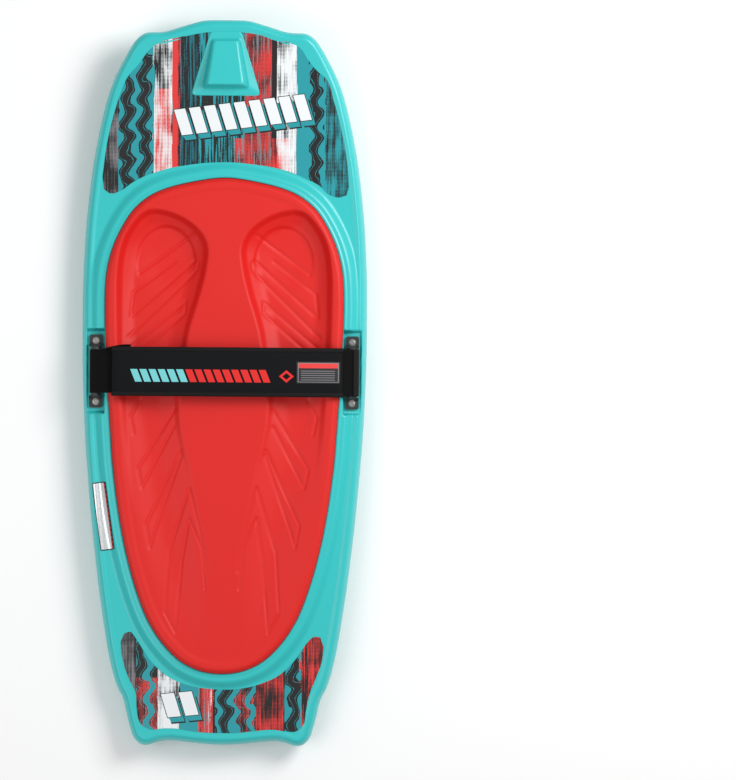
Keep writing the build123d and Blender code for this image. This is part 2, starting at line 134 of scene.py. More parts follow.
@dataclass
class Loop:
    """A closed outline in plan, symmetrical about X = 0, that starts at its foremost point.

    Attributes:
        half: (distance behind the nose, half width) pairs in millimetres, from front to rear.
        nose: Y of the board's nose, in metres.
    """

    half: Pairs
    nose: float
    STEPS = 24  # between two corners
    ROUND = 1200  # steps round the whole outline, when a distance is measured to it

    def __post_init__(self) -> None:
        """Fits a closed cubic through the points and measures it."""
        s, w = np.array(self.half, float).T * MM
        x = np.concatenate([w, -w[-2:0:-1]])
        y = np.concatenate([s, s[-2:0:-1]]) + self.nose
        points = np.stack([x, y], 1)
        chord = np.linalg.norm(np.roll(points, -1, 0) - points, axis=1) ** 0.5
        slope = self._slopes(points, chord)
        t = np.linspace(0.0, 1.0, self.STEPS, endpoint=False)[None, :, None]
        ends = [v[:, None] for v in (points, np.roll(points, -1, 0), slope, np.roll(slope, -1, 0))]
        self.fine = cubic(*ends, chord[:, None, None], t).reshape(-1, 2)
        step = np.linalg.norm(np.roll(self.fine, -1, 0) - self.fine, axis=1)
        self.length = np.concatenate([[0.0], np.cumsum(step)])

    @staticmethod
    def _slopes(points: Grid, chord: Grid) -> Grid:
        """The slopes that give a closed cubic spline an even curvature.

        Args:
            points: the outline's corners, (n, 2).
            chord: the parameter step from each corner to the next.

        Returns:
            The slope at each corner, (n, 2).
        """
        n = len(points)
        before = np.roll(chord, 1)
        matrix = np.zeros((n, n))
        rows = np.arange(n)
        matrix[rows, rows] = 2.0 * (before + chord)
        matrix[rows, (rows - 1) % n] = chord
        matrix[rows, (rows + 1) % n] = before
        ahead = (np.roll(points, -1, 0) - points) / chord[:, None]
        behind = np.roll(ahead, 1, 0)
        return np.linalg.solve(matrix, 3.0 * (chord[:, None] * behind + before[:, None] * ahead))

    def at(self, share: Grid) -> Grid:
        """Points along the outline.

        Args:
            share: shares of its whole length, from the foremost point towards +X.

        Returns:
            (n, 2) positions.
        """
        want = np.mod(share, 1.0) * self.length[-1]
        closed = np.concatenate([self.fine, self.fine[:1]])
        return np.stack([np.interp(want, self.length, closed[:, k]) for k in (0, 1)], -1)

    def share_of(self, place: tuple[float, float]) -> float:
        """Finds a place on the outline.

        Args:
            place: (behind the nose, half width) in millimetres.

        Returns:
            The share of the outline's length at the point nearest to the place.
        """
        target = np.array([place[1] * MM, place[0] * MM + self.nose])
        return float(self.length[np.argmin(np.linalg.norm(self.fine - target, axis=1))] / self.length[-1])

    def distance(self, x: Grid, y: Grid) -> Grid:
        """The distance from each position to the outline.

        Args:
            x: X of the positions, any shape.
            y: Y of the positions, the same shape.

        Returns:
            Distances in metres: from each point to the nearest of the straight steps round the outline.
        """
        return distance_to(self.at(np.linspace(0, 1, self.ROUND, endpoint=False)), x, y)


def distance_to(corners: Grid, x: Grid, y: Grid) -> Grid:
    """The distance from each position to a closed line of short straight steps.

    Args:
        corners: (n, 2) corners of the line.
        x: X of the positions, any shape.
        y: Y of the positions, the same shape.

    Returns:
        Distances, found on the two steps beside the nearest corner.
    """
    flat = np.stack([x.ravel(), y.ravel()], 1)
    size = (corners**2).sum(1)
    best = np.empty(len(flat), int)
    for start in range(0, len(flat), BATCH):
        part = flat[start : start + BATCH]
        best[start : start + BATCH] = np.argmin(size - 2.0 * (part @ corners.T), axis=1)
    nearest = np.full(len(flat), np.inf)
    for neighbour in (-1, 1):
        a = corners[best]
        d = corners[(best + neighbour) % len(corners)] - a
        v = flat - a
        t = np.clip((v * d).sum(1) / (d * d).sum(1), 0.0, 1.0)
        nearest = np.minimum(nearest, np.linalg.norm(v - t[:, None] * d, axis=1))
    return nearest.reshape(x.shape)


def skin(name: str, points: Grid, wrap_u: bool = False, wrap_v: bool = False) -> bpy.types.Object:
    """Makes a mesh from a grid of points, with poles and seams welded.

    Args:
        name: the piece's name.
        points: (u, v, 3) positions.
        wrap_u: whether the last u joins the first.
        wrap_v: whether the last v joins the first.

    Returns:
        The new object, smooth shaded, with a UV map of the two parameters.
    """
    nu, nv = points.shape[:2]
    iu, iv = np.arange(nu if wrap_u else nu - 1), np.arange(nv if wrap_v else nv - 1)
    a = iu[:, None] * nv + iv[None]
    b = ((iu[:, None] + 1) % nu) * nv + iv[None]
    c = ((iu[:, None] + 1) % nu) * nv + (iv[None] + 1) % nv
    d = iu[:, None] * nv + (iv[None] + 1) % nv
    faces = np.stack([a, b, c, d], -1).reshape(-1, 4)
    corner_u = np.stack([iu[:, None] + k + 0 * iv for k in (0, 1, 1, 0)], -1).reshape(-1) / (nu - 1 + wrap_u)
    corner_v = np.stack([iv + k + 0 * iu[:, None] for k in (0, 0, 1, 1)], -1).reshape(-1) / (nv - 1 + wrap_v)
    flat = points.reshape(-1, 3)
    cells = np.round(flat / WELD).astype(np.int64)
    _, first, index = np.unique(cells, axis=0, return_index=True, return_inverse=True)
    index = index.reshape(-1)
    faces = index[faces]
    uv = np.stack([corner_u, corner_v], 1).reshape(-1, 4, 2)
    after = np.roll(faces, -1, 1)
    keep = faces != after
    whole = keep.sum(1) >= 3
    faces, keep, uv = faces[whole], keep[whole], uv[whole]
    mesh = bpy.data.meshes.new(name)
    sizes = keep.sum(1)
    starts = np.concatenate([[0], np.cumsum(sizes)[:-1]])
    mesh.vertices.add(len(first))
    mesh.vertices.foreach_set("co", flat[first].astype(np.float32).ravel())
    mesh.loops.add(int(sizes.sum()))
    mesh.loops.foreach_set("vertex_index", faces[keep].astype(np.int32))
    mesh.polygons.add(len(sizes))
    mesh.polygons.foreach_set("loop_start", starts.astype(np.int32))
    mesh.update(calc_edges=True)
    layer = mesh.uv_layers.new(name="UVMap")
    layer.data.foreach_set("uv", uv[keep].astype(np.float32).ravel())
    mesh.polygons.foreach_set("use_smooth", np.ones(len(sizes), bool))
    mesh.validate()
    made = bpy.data.objects.new(name, mesh)
    bpy.context.scene.collection.objects.link(made)
    return made


def dress(made: bpy.types.Object, material: bpy.types.Material, slot: str, body: str, *nodes: str) -> None:
    """Gives a piece its material, its body and the CAD nodes that it stands for.

    Args:
        made: the piece.
        material: its material.
        slot: its material slot; not used.
        body: the body that it moves with.
        nodes: the CAD nodes that it replaces.
    """
    made.data.materials.append(material)
    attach(made, body)
    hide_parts(*nodes)


# --------------------------------------------------------------------------- shader maths


def arithmetic(operation: str, *rest: float) -> Callable[..., "Wire"]:
    """Makes a method of Wire that adds one Math node.

    Args:
        operation: the node's operation.
        rest: its last inputs, where they never change.

    Returns:
        The method. It takes what the wire is combined with, and gives the node's result.
    """

    def method(self: "Wire", *others: "Wire | float") -> "Wire":
        """Combines this wire with the others.

        Args:
            self: the node's first input.
            others: the inputs after it.

        Returns:
            The node's result.
        """
        values = (self, *others, *rest)
        return self.paint.node("ShaderNodeMath", {"operation": operation}, dict(enumerate(values)))

    return method


class Wire:
    """A shader socket with arithmetic, so a pattern reads as a formula."""

    def __init__(self, paint: "Paint", socket: bpy.types.NodeSocket) -> None:
        """Wraps a socket.

        Args:
            paint: the material that it belongs to.
            socket: one of its nodes' outputs.
        """
        self.paint = paint
        self.socket = socket

    __add__ = __radd__ = arithmetic("ADD")
    __mul__ = __rmul__ = arithmetic("MULTIPLY")
    __sub__ = arithmetic("SUBTRACT")
    __truediv__ = arithmetic("DIVIDE")
    __abs__ = arithmetic("ABSOLUTE")
    sine = arithmetic("SINE")
    larger = arithmetic("MAXIMUM")
    above = arithmetic("GREATER_THAN")  # 1 where this wire is above the other, and 0 elsewhere
    below = arithmetic("LESS_THAN")
    wrap = arithmetic("WRAP", 0.0)  # this wire repeated from 0 to a period

    def between(self, low: float, high: float) -> "Wire":
        """Marks a band.

        Args:
            low: where the band starts.
            high: where it ends.

        Returns:
            1 from low to high, and 0 elsewhere.
        """
        return self.above(low) * self.below(high)


Colour = tuple[int, int, int]


def linear(colour: Colour) -> tuple[float, float, float, float]:
    """Turns a display colour into the renderer's linear one.

    Args:
        colour: red, green and blue, 0 to 255.

    Returns:
        Red, green, blue and an alpha of 1, by the sRGB curve.
    """
    share = np.array(colour, float) / 255.0
    low, high = share / 12.92, ((share + 0.055) / 1.055) ** 2.4
    return (*np.where(share <= 0.04045, low, high).tolist(), 1.0)


@dataclass(frozen=True)
class Finish:
    """How a plain material looks.

    Attributes:
        colour: display colour, 0 to 255.
        rough: roughness.
        metal: metallic share.
        coat: clear coat weight.
        sheen: cloth sheen weight.
        shine: strength of its plain reflection.
        grain: bump height of its fine grain, in metres.
        grain_size: width of that grain, in metres.
    """

    colour: Colour
    rough: float = 0.5
    metal: float = 0.0
    coat: float = 0.0
    sheen: float = 0.0
    shine: float = 0.5
    grain: float = 0.0
    grain_size: float = 0.001


class Paint:
    """A material being built from nodes."""

    def __init__(self, name: str, finish: Finish) -> None:
        """Starts a material with a plain finish.

        Args:
            name: the material's name.
            finish: its colour and gloss.
        """
        self.material = bpy.data.materials.new(name)
        self.material.use_nodes = True
        self.tree = self.material.node_tree
        self.shader = self.tree.nodes["Principled BSDF"]
        self.finish = finish
        put = self.shader.inputs
        put["Base Color"].default_value = linear(finish.colour)
        put["Roughness"].default_value = finish.rough
        put["Metallic"].default_value = finish.metal
        put["Coat Weight"].default_value = finish.coat
        put["Coat Roughness"].default_value = 0.2
        put["Sheen Weight"].default_value = finish.sheen
        put["Sheen Roughness"].default_value = 0.4
        put["Specular IOR Level"].default_value = finish.shine
        self.material.diffuse_color = linear(finish.colour)

    def node(self, kind: str, settings: dict, inputs: dict, output: int | str = 0) -> Wire:
        """Adds a node.

        Args:
            kind: the node's type.
            settings: its properties.
            inputs: its inputs by name or number: wires or constants.
            output: which output to give back.

        Returns:
            That output.
        """
        made = self.tree.nodes.new(kind)
        for key, value in settings.items():
            setattr(made, key, value)
        for key, value in inputs.items():
            if isinstance(value, Wire):
                self.tree.links.new(value.socket, made.inputs[key])
            else:
                made.inputs[key].default_value = value
        return Wire(self, made.outputs[output])

    def place(self) -> tuple[Wire, Wire, Wire]:
        """X, Y and Z of the surface in millimetres, in the board's own frame.

        Returns:
            The three wires.
        """
        return tuple(wire * (1 / MM) for wire in self._split("Object"))

    def uv(self) -> tuple[Wire, Wire]:
        """The piece's two surface parameters, 0 to 1.

        Returns:
            The two wires.
        """
        return self._split("UV")[:2]

    def _split(self, kind: str) -> tuple[Wire, Wire, Wire]:
        """The parts of a texture coordinate.

        Args:
            kind: which coordinate.

        Returns:
            Its three parts.
        """
        at = self.node("ShaderNodeTexCoord", {}, {}, kind)
        outs = self.node("ShaderNodeSeparateXYZ", {}, {0: at}).socket.node.outputs
        return tuple(Wire(self, outs[k]) for k in range(3))

    def vector(self, x: Wire | float, y: Wire | float, z: Wire | float = 0.0) -> Wire:
        """Joins three numbers.

        Args:
            x: the first.
            y: the second.
            z: the third.

        Returns:
            The vector.
        """
        return self.node("ShaderNodeCombineXYZ", {}, {0: x, 1: y, 2: z})

    def noise(self, at: Wire, detail: float = 2.0) -> Wire:
        """Cloudy noise with features about one unit wide.

        Args:
            at: where, as a vector.
            detail: how many finer layers it has.

        Returns:
            0 to 1.
        """
        return self.node("ShaderNodeTexNoise", {}, {"Vector": at, "Scale": 1.0, "Detail": detail})

    def tone(self, tone: "Tone") -> Wire:
        """A constant colour.

        Args:
            tone: which of the print colours.

        Returns:
            The colour.
        """
        wire = self.node("ShaderNodeRGB", {}, {})
        wire.socket.default_value = linear(tone.value)
        return wire

    def mix(self, share: Wire, first: Wire | Colour, second: Wire | Colour) -> Wire:
        """Blends two colours.

        Args:
            share: how much of the second there is, 0 to 1.
            first: the first colour.
            second: the second colour.

        Returns:
            The blend.
        """
        ends = [v if isinstance(v, Wire) else linear(v) for v in (first, second)]
        return self.node("ShaderNodeMix", {"data_type": "RGBA"}, {0: share, 6: ends[0], 7: ends[1]}, 2)

    def bands(self, at: Wire, low: float, high: float, stops: Sequence[tuple[float, Colour]]) -> Wire:
        """Hard-edged bands of colour.

        Args:
            at: the coordinate that crosses the bands.
            low: where the first band starts.
            high: where the last band ends.
            stops: (start of the band, its colour) in rising order.

        Returns:
            The colour.
        """
        wire = self.node("ShaderNodeValToRGB", {}, {0: (at - low) / (high - low)})
        ramp = wire.socket.node.color_ramp
        ramp.interpolation = "CONSTANT"
        while len(ramp.elements) < len(stops):
            ramp.elements.new(1.0)
        for element, (start, colour) in zip(ramp.elements, stops):
            element.position = (start - low) / (high - low)
            element.color = linear(colour)
        return wire

    def bump(self, height: Wire, depth: float) -> None:
        """Gives the surface a relief.

        Args:
            height: 0 to 1.
            depth: the height of 1, in metres.
        """
        wire = self.node("ShaderNodeBump", {}, {"Strength": 1.0, "Distance": depth, "Height": height})
        self.tree.links.new(wire.socket, self.shader.inputs["Normal"])

    def colour(self, wire: Wire) -> None:
        """Gives the surface a colour that varies.

        Args:
            wire: the colour.
        """
        self.tree.links.new(wire.socket, self.shader.inputs["Base Color"])

    def grained(self) -> "Paint":
        """Adds the finish's fine grain.

        Returns:
            This material.
        """
        if self.finish.grain:
            x, y, z = self.place()
            scale = MM / self.finish.grain_size
            self.bump(self.noise(self.vector(x * scale, y * scale, z * scale)), self.finish.grain)
        return self

    def woven(self, pitch: float, depth: float) -> "Paint":
        """Adds a plain weave.

        Args:
            pitch: width of a thread, in millimetres.
            depth: its height, in metres.

        Returns:
            This material.
        """
        x, y, _ = self.place()
        turn = math.pi / pitch
        threads = (x * turn).sine() * (y * turn).sine()
        self.bump(threads * 0.5 + 0.5, depth)
        return self


class Tone(Enum):
    """The colours that the prints share."""

    TEAL = (28, 150, 160)
    DEEP_TEAL = (12, 105, 118)
    RED = (222, 52, 50)
    BLACK = (18, 19, 21)
    WHITE = (232, 236, 238)
    GREY = (122, 120, 124)
    PALE_TEAL = (120, 205, 208)


@dataclass(frozen=True)
class Finishes:
    """Every plain finish on the board."""

    shell: Finish = Finish((43, 190, 190), 0.38, coat=0.2, grain=0.00004, grain_size=0.0012)
    pad: Finish = Finish((216, 27, 21), 0.52, shine=0.38, grain=0.00008, grain_size=0.0009)
    nylon: Finish = Finish((44, 46, 46), 0.45, grain=0.00004, grain_size=0.0008)
    steel: Finish = Finish((190, 190, 188), 0.28, metal=1.0)
    brass: Finish = Finish((205, 165, 90), 0.35, metal=1.0)
    webbing: Finish = Finish((13, 13, 13), 0.85, shine=0.12)
    cover: Finish = Finish((15, 15, 15), 0.8, shine=0.12)
    tape: Finish = Finish((14, 14, 15), 0.7, shine=0.2)
    foam: Finish = Finish((236, 228, 200), 0.8)


# --------------------------------------------------------------------------- the board


@dataclass
class BoardForm:
    """The board's shape, shared by the shell, the films and the label.

    Attributes:
        nose: Y of the nose.
        tail: Y of the tail.
        flat_front: Y where the nose rocker starts.
        flat_rear: Y where the tail rocker starts.
        deck: height of the deck beside the pad.
        deck_rise: how far the deck climbs to the nose.
        hull_rise: how far the hull climbs to the nose.
        tail_rise: how far the hull climbs to the tail.
        part_rise: how far the parting line climbs to the nose.
        part_tail: how far it climbs to the tail.
        part_low: its height amidships.
        collar: height of the collar round the pad, above the deck.
        collar_width: its width.
        collar_slope: how far outside that width its slope ends, and how far inside it starts.
        bead: height of the bead on the collar, its distance from the pad, and its half width.
        lip: height of the lip by the rail, and how far in from the rail it starts and is full.
        rail: how far in the rail's rounding reaches.
        hull_rail: the same on the hull.
        recess: half width and half length of a bracket's recess.
        recess_at: X and Y of the left recess's middle.
        recess_floor: height of its floor.
        chine: how far out the hull's bevel starts.
        chine_rise: how far the bevel climbs to the rail.
        half: half width of the board.
    """

    nose: float = -0.635
    tail: float = 0.635
    flat_front: float = -0.2
    flat_rear: float = 0.3
    deck: float = 0.056
    deck_rise: float = 0.042
    hull_rise: float = 0.072
    tail_rise: float = 0.026
    part_rise: float = 0.058
    part_tail: float = 0.008
    part_low: float = 0.026
    collar: float = 0.010
    collar_width: float = 0.0255
    collar_slope: tuple[float, float] = (0.003, 0.015)
    bead: tuple[float, float, float] = (0.0012, 0.0028, 0.0022)
    lip: tuple[float, float, float] = (0.0022, 0.021, 0.011)
    rail: float = 0.014
    hull_rail: float = 0.016
    recess: tuple[float, float] = (0.0152, 0.0725)
    recess_at: tuple[float, float] = (0.2245, -0.021)
    recess_floor: float = 0.050
    chine: float = 0.186
    chine_rise: float = 0.012
    half: float = 0.250

    # (behind the nose, half width) in millimetres, round the board and round the pad's pocket
    OUTLINE = (
        (0, 0), (1, 38), (5.5, 57), (12, 79), (17.5, 96), (20.6, 110), (21.4, 126), (22.6, 139.5), (28, 150),
        (36, 158.5), (48, 167), (67, 178), (102, 195.5), (137, 208), (172, 217), (207, 224.5), (243, 231),
        (278, 236), (313, 240), (348, 243.5), (383, 246), (453, 249), (523, 249.6), (593, 249.2), (663, 247),
        (733, 243.5), (803, 238), (873, 231.8), (943, 224), (1013, 215), (1083, 204.2), (1118, 197.6),
        (1150, 189.5), (1168, 183), (1180, 176.7), (1190, 172.5), (1204, 169), (1222, 165), (1240, 160),
        (1254, 155), (1264, 147), (1268.8, 138), (1268.5, 127), (1264, 114), (1260.8, 98), (1261.2, 80),
        (1264.5, 50), (1267, 22), (1267.8, 0),
    )
    POCKET = (
        (274, 0), (276, 26), (281, 55), (288, 86), (295, 108), (302.5, 125), (312.7, 141), (328, 158),
        (347.7, 172.5), (382.7, 190.5), (417.8, 202), (452.8, 207.6), (505.4, 209), (557.9, 207.6),
        (628, 204), (680.5, 200.6), (733, 197), (768, 194.5), (803, 190.5), (838, 186), (873, 180.5),
        (908, 174), (943, 166), (978, 156.5), (1013, 145), (1048, 130.5), (1083, 109), (1105, 90),
        (1120, 73), (1132, 52), (1140, 27), (1142.5, 0),
    )
    # How far outside and inside its outline a recess's wall leans, at its sides and at its ends
    SIDE_WALL = (0.0012, 0.0008)
    END_WALL = (0.0015, 0.0012)
    # A low step along the hull: its height, and how far out it starts and is full
    STEP = (0.0012, 0.124, 0.129)
    # A crescent in the hull: its relief, and (behind the nose, half width) along its outer side
    GROOVE_DEPTH = 0.006
    GROOVE = ((0.022, 0.124), (0.067, 0.1356), (0.155, 0.142), (0.243, 0.1405), (0.3, 0.126))
    FIN_HEIGHT = 0.012
    FIN = (
        (0.985, 0.127), (1.022, 0.1438), (1.061, 0.1509), (1.101, 0.1524), (1.15, 0.149), (1.192, 0.142),
        (1.232, 0.128),
    )
    GROUND_GAP = 0.0006  # a fin stays this far off the ground

    def __post_init__(self) -> None:
        """Draws the outlines of the board and of the pocket that the pad lies in."""
        self.outline = Loop(self.OUTLINE, self.nose)
        self.pad = Loop(self.POCKET, self.nose)

    def _to_nose(self, y: Grid) -> Grid:
        """How far along the nose's climb each Y is.

        Args:
            y: Y of the positions.

        Returns:
            0 on the flat and 1 at the nose.
        """
        return np.clip((self.flat_front - y) / (self.flat_front - self.nose), 0.0, 1.02)

    def _to_tail(self, y: Grid) -> Grid:
        """How far along the tail's climb each Y is.

        Args:
            y: Y of the positions.

        Returns:
            0 on the flat and 1 at the tail.
        """
        return np.clip((y - self.flat_rear) / (self.tail - self.flat_rear), 0.0, 1.0)

    def deck_line(self, y: Grid) -> Grid:
        """Height of the plain deck: level, then rising to the nose.

        Args:
            y: Y of the positions.

        Returns:
            The heights.
        """
        t = self._to_nose(y)
        return self.deck + self.deck_rise * (0.721 * t**2 + 0.279 * t**3)

    def hull_line(self, y: Grid) -> Grid:
        """Height of the hull's keel: level, and rising to both ends.

        Args:
            y: Y of the positions.

        Returns:
            The heights.
        """
        t, u = self._to_nose(y), self._to_tail(y)
        return self.hull_rise * (0.825 * t**2 + 0.175 * t**3) + self.tail_rise * (0.81 * u**2 + 0.19 * u**3)

    def parting(self, y: Grid) -> Grid:
        """Height of the line round the rail where the deck and the hull mouldings meet.

        Args:
            y: Y of the positions.

        Returns:
            The heights.
        """
        t, u = self._to_nose(y), self._to_tail(y)
        z = self.part_low + self.part_rise * (0.3 * t**2 + 0.7 * t**3)
        return z + self.part_tail * u * u * (3 - 2 * u)

    def deck_height(self, x: Grid, y: Grid, recesses: bool = True) -> Grid:
        """Height of the deck's surface outside the pad.

        Args:
            x: X of the positions.
            y: Y of the positions.
            recesses: whether to sink the two bracket recesses.

        Returns:
            The plain deck, with the collar raised round the pad, a lip by the rail and the rail rounded down.
        """
        from_pad = self.pad.distance(x, y)
        from_rail = self.outline.distance(x, y)
        outside, inside = self.collar_slope
        bead, bead_at, bead_half = self.bead
        lip, lip_start, lip_full = self.lip
        z = self.deck_line(y)
        z = z + self.collar * ease(from_pad, self.collar_width + outside, self.collar_width - inside)
        z = z + bead * np.exp(-(((from_pad - bead_at) / bead_half) ** 2))
        z = z + lip * ease(from_rail, lip_start, lip_full)
        low = self.parting(y)
        z = z - (z - low) * ellipse_drop(from_rail, self.rail)
        if recesses:
            sunk = 1.0
            for k, (at, wall) in enumerate(((np.abs(x), self.SIDE_WALL), (y, self.END_WALL))):
                away = np.abs(at - self.recess_at[k])
                sunk = sunk * ease(away, self.recess[k] + wall[0], self.recess[k] - wall[1])
            z = z + (self.recess_floor - z) * sunk
        return z

    @staticmethod
    def _crescent(across: Grid, s: Grid, line: Pairs, ends: Pairs, sides: Pairs) -> tuple[Grid, Grid]:
        """The relief of a crescent.

        Args:
            across: distances from the middle of the board.
            s: distances behind the nose.
            line: (behind the nose, half width) along its outer side.
            ends: where it starts and is full, and where it ends and stops being full, behind the nose.
            sides: the same, in from its outer side.

        Returns:
            0 to 1 by its ends, and 0 to 1 by its sides.
        """
        inside = through(s, line) - across
        along, over = (ease(at, *gate[0]) * ease(at, *gate[1]) for at, gate in ((s, ends), (inside, sides)))
        return along, over

    def hull_height(self, x: Grid, y: Grid) -> Grid:
        """Height of the hull's surface.

        Args:
            x: X of the positions.
            y: Y of the positions.

        Returns:
            A flat middle and bevelled sides, with two grooves by the nose and two fins by the tail.
        """
        across = np.abs(x)
        s = y - self.nose
        step, step_start, step_full = self.STEP
        z = self.hull_line(y) + step * ease(across, step_start, step_full)
        z = z + self.chine_rise * np.clip((across - self.chine) / (self.half - self.chine), 0.0, 1.2)
        gates = (((0.02, 0.07), (0.302, 0.26)), ((-0.002, 0.002), (0.022, 0.004)))
        along, over = self._crescent(across, s, self.GROOVE, *gates)
        z = z + self.GROOVE_DEPTH * along * over
        gates = (((0.984, 1.08), (1.236, 1.17)), ((-0.003, 0.001), (0.034, 0.002)))
        along, over = self._crescent(across, s, self.FIN, *gates)
        z = z - np.minimum(self.FIN_HEIGHT * along, np.maximum(z - self.GROUND_GAP, 0.0)) * over
        from_rail = self.outline.distance(x, y)
        return z + np.maximum(self.parting(y) - z, 0.0) * ellipse_drop(from_rail, self.hull_rail)


class Shell:
    """The deck and hull mouldings and the hook."""

    COUNT = 1100  # points round each row
    FLOOR = 0.038  # height of the pocket's floor
    SPINE = (-0.26, 0.38)  # Y of the two ends of the line that the floor's rows meet in
    KEEL_ENDS = (0.11, 0.12)  # from the nose and from the tail to the ends of the hull's middle line
    TUCK = (0.003, 0.0002)  # how far in and down the deck's edge turns under
    # Distances from the pocket of the deck's rows by it
    POCKET_ROWS = (0.0, 0.0005, 0.001, 0.0018, *np.arange(0.0028, 0.0301, 0.0013))
    RAIL_BAND = 0.045
    # Distances in from the rail of the rows by it
    RAIL_ROWS = (
        0.0145, 0.0125, 0.0105, 0.0088, 0.0072, 0.0058, 0.0045, 0.0033, 0.0023, 0.0014, 0.0007, 0.0002, 0.0,
    )
    HULL_BAND = 0.019
    HULL_ROWS = (0.0165, 0.0145, 0.0125, 0.0105, 0.0085, 0.0065, 0.0048, 0.0033, 0.002, 0.001, 0.0004, 0.0)
    # (behind the nose, half width) on the rail, and of the pocket's point that faces it
    FACING = (
        ((0, 0), (274, 0)), ((25, 148), (295, 108)), ((170, 221), (330, 160)), ((300, 243), (400, 197)),
        ((1000, 218), (1000, 150)), ((1110, 200), (1075, 115)), ((1262, 150), (1132, 52)),
        ((1268, 0), (1142, 0)),
    )
    # Loops of the hook: front and rear behind the nose, front and rear half width, height above the deck, and
    # how far the loop has gone from following the deck to following the level crest
    HOOK = (
        (20, 132, 27.5, 61.5, -1.0, 0), (20.5, 131, 27, 61, 0.9, 0), (22, 129.5, 26, 59.5, 1.5, 0),
        (30, 122, 25.5, 43.5, 1.6, 0), (33.5, 119.5, 25.3, 41.8, 2.4, 0), (35.5, 116.5, 24.2, 40.2, 5.0, 0.15),
        (37.5, 113.5, 20.0, 33.5, 12.0, 0.85), (38.7, 112.4, 17.8, 29.0, 0, 1), (40.5, 110.2, 16.2, 26.6, 0, 1),
        (43, 107, 14.5, 23.5, 0, 1), (75, 77, 0.8, 0.8, 0, 1),
    )
    HOOK_CREST = 0.1035  # its height
    HOOK_DIP = (0.0008, 0.08, 0.03)  # how far the crest dips to the front, from and to where behind the nose

    def __init__(self, form: BoardForm, finishes: Finishes) -> None:
        """Makes the three pieces.

        Args:
            form: the board's shape.
            finishes: the plain finishes.
        """
        self.form = form
        self.material = Paint("shell_plastic", finishes.shell).grained().material
        self.share = np.linspace(0, 1, self.COUNT, endpoint=False)
        self.rim = form.outline.at(self.share)
        self._deck()
        self._hull()
        self._hook()

    def _pad_side(self) -> Grid:
        """The pocket's point that faces each point of the rail.

        Returns:
            (n, 2) positions, matched at six places down each side.
        """
        form = self.form
        here = [form.outline.share_of(a) for a, _ in self.FACING]
        there = [form.pad.share_of(b) for _, b in self.FACING]
        here = np.array([0.0, *here[1:-1], 0.5])
        there = np.array([0.0, *there[1:-1], 0.5])
        half = np.minimum(self.share, 1 - self.share)
        match = np.interp(half, here, there)
        return form.pad.at(np.where(self.share <= 0.5, match, 1 - match))

    def _deck(self) -> None:
        """Makes the deck: its rows are close by the collar and by the rail, and stretched between them."""
        form = self.form
        inner, outer = self._pad_side(), self.rim
        span = np.linalg.norm(outer - inner, axis=1)
        near, edge = np.array(self.POCKET_ROWS), self.RAIL_BAND - np.array(self.RAIL_ROWS)
        between = np.linspace(0, 1, 28)[1:-1]
        base = np.concatenate([near, np.full(len(between), near[-1]), edge])
        loose = np.concatenate([np.zeros(len(near)), between, np.ones(len(edge))])
        along = base[None] + loose[None] * (span[:, None] - self.RAIL_BAND)
        along = np.sort(np.clip(along, 0, span[:, None]), axis=1)
        plan = inner[:, None] + (outer - inner)[:, None] * (along / span[:, None])[..., None]
        height = form.deck_height(plan[..., 0], plan[..., 1])
        top = np.concatenate([plan, height[..., None]], -1)
        floor = np.full(len(inner), self.FLOOR)
        wall = np.concatenate([inner, floor[:, None]], 1)[:, None]
        spine = np.stack([0 * floor, np.clip(inner[:, 1], *self.SPINE), floor], 1)[:, None]
        tuck = outer + (inner - outer) * (self.TUCK[0] / span)[:, None]
        lip = np.concatenate([tuck, form.parting(tuck[:, 1])[:, None] - self.TUCK[1]], 1)[:, None]
        made = skin("deck_moulding", np.concatenate([spine, wall, top, lip], 1), wrap_u=True)
        dress(made, self.material, "shell_plastic", "board", "deck_shell", "foam_core")

    def _hull(self) -> None:
        """Makes the hull: its rows run from the keel out to the rail."""
        form = self.form
        rim = self.rim
        ends = form.nose + self.KEEL_ENDS[0], form.tail - self.KEEL_ENDS[1]
        keel = np.stack([0 * rim[:, 0], np.clip(rim[:, 1], *ends)], 1)
        span = np.linalg.norm(rim - keel, axis=1)
        inside = np.linspace(0, 1, 68)[None] * (span[:, None] - self.HULL_BAND)
        along = np.concatenate([inside, span[:, None] - np.array(self.HULL_ROWS)], 1)
        plan = keel[:, None] + (rim - keel)[:, None] * (along / span[:, None])[..., None]
        height = form.hull_height(plan[..., 0], plan[..., 1])
        points = np.concatenate([plan, height[..., None]], -1)
        made = skin("hull_moulding", points[:, ::-1], wrap_u=True)
        dress(made, self.material, "shell_plastic", "board", "hull_shell")

    def _hook(self) -> None:
        """Makes the hook for the tow-rope handle: a low plate with a bevelled hump on it."""
        form = self.form
        dip, dip_start, dip_full = self.HOOK_DIP
        corners = np.array([(-1, 0), (1, 0), (1, 1), (-1, 1)])
        t = np.linspace(0, 1, 33)[:-1, None]
        loops = []
        for front, rear, slim, wide, rise, level in self.HOOK:
            half = np.where(corners[:, 1] == 0, slim, wide) * corners[:, 0]
            place = np.where(corners[:, 1] == 0, front, rear)
            box = np.stack([half, place], 1)
            ring = np.concatenate([box[k] + (box[(k + 1) % 4] - box[k]) * t for k in range(4)])
            for _ in range(5):
                ring = (np.roll(ring, 1, 0) + 2 * ring + np.roll(ring, -1, 0)) / 4
            x, y = ring[:, 0] * MM, ring[:, 1] * MM + form.nose
            crest = self.HOOK_CREST - dip * ease(y, form.nose + dip_start, form.nose + dip_full)
            z = (form.deck_line(y) + rise * MM) * (1 - level) + crest * level
            loops.append(np.stack([x, y, z], 1))
        points = np.stack(loops, 1)
        points[:, -1] = points[:, -1].mean(0)
        made = skin("hook_moulding", points, wrap_u=True)
        dress(made, self.material, "shell_plastic", "board", "tow_hook")


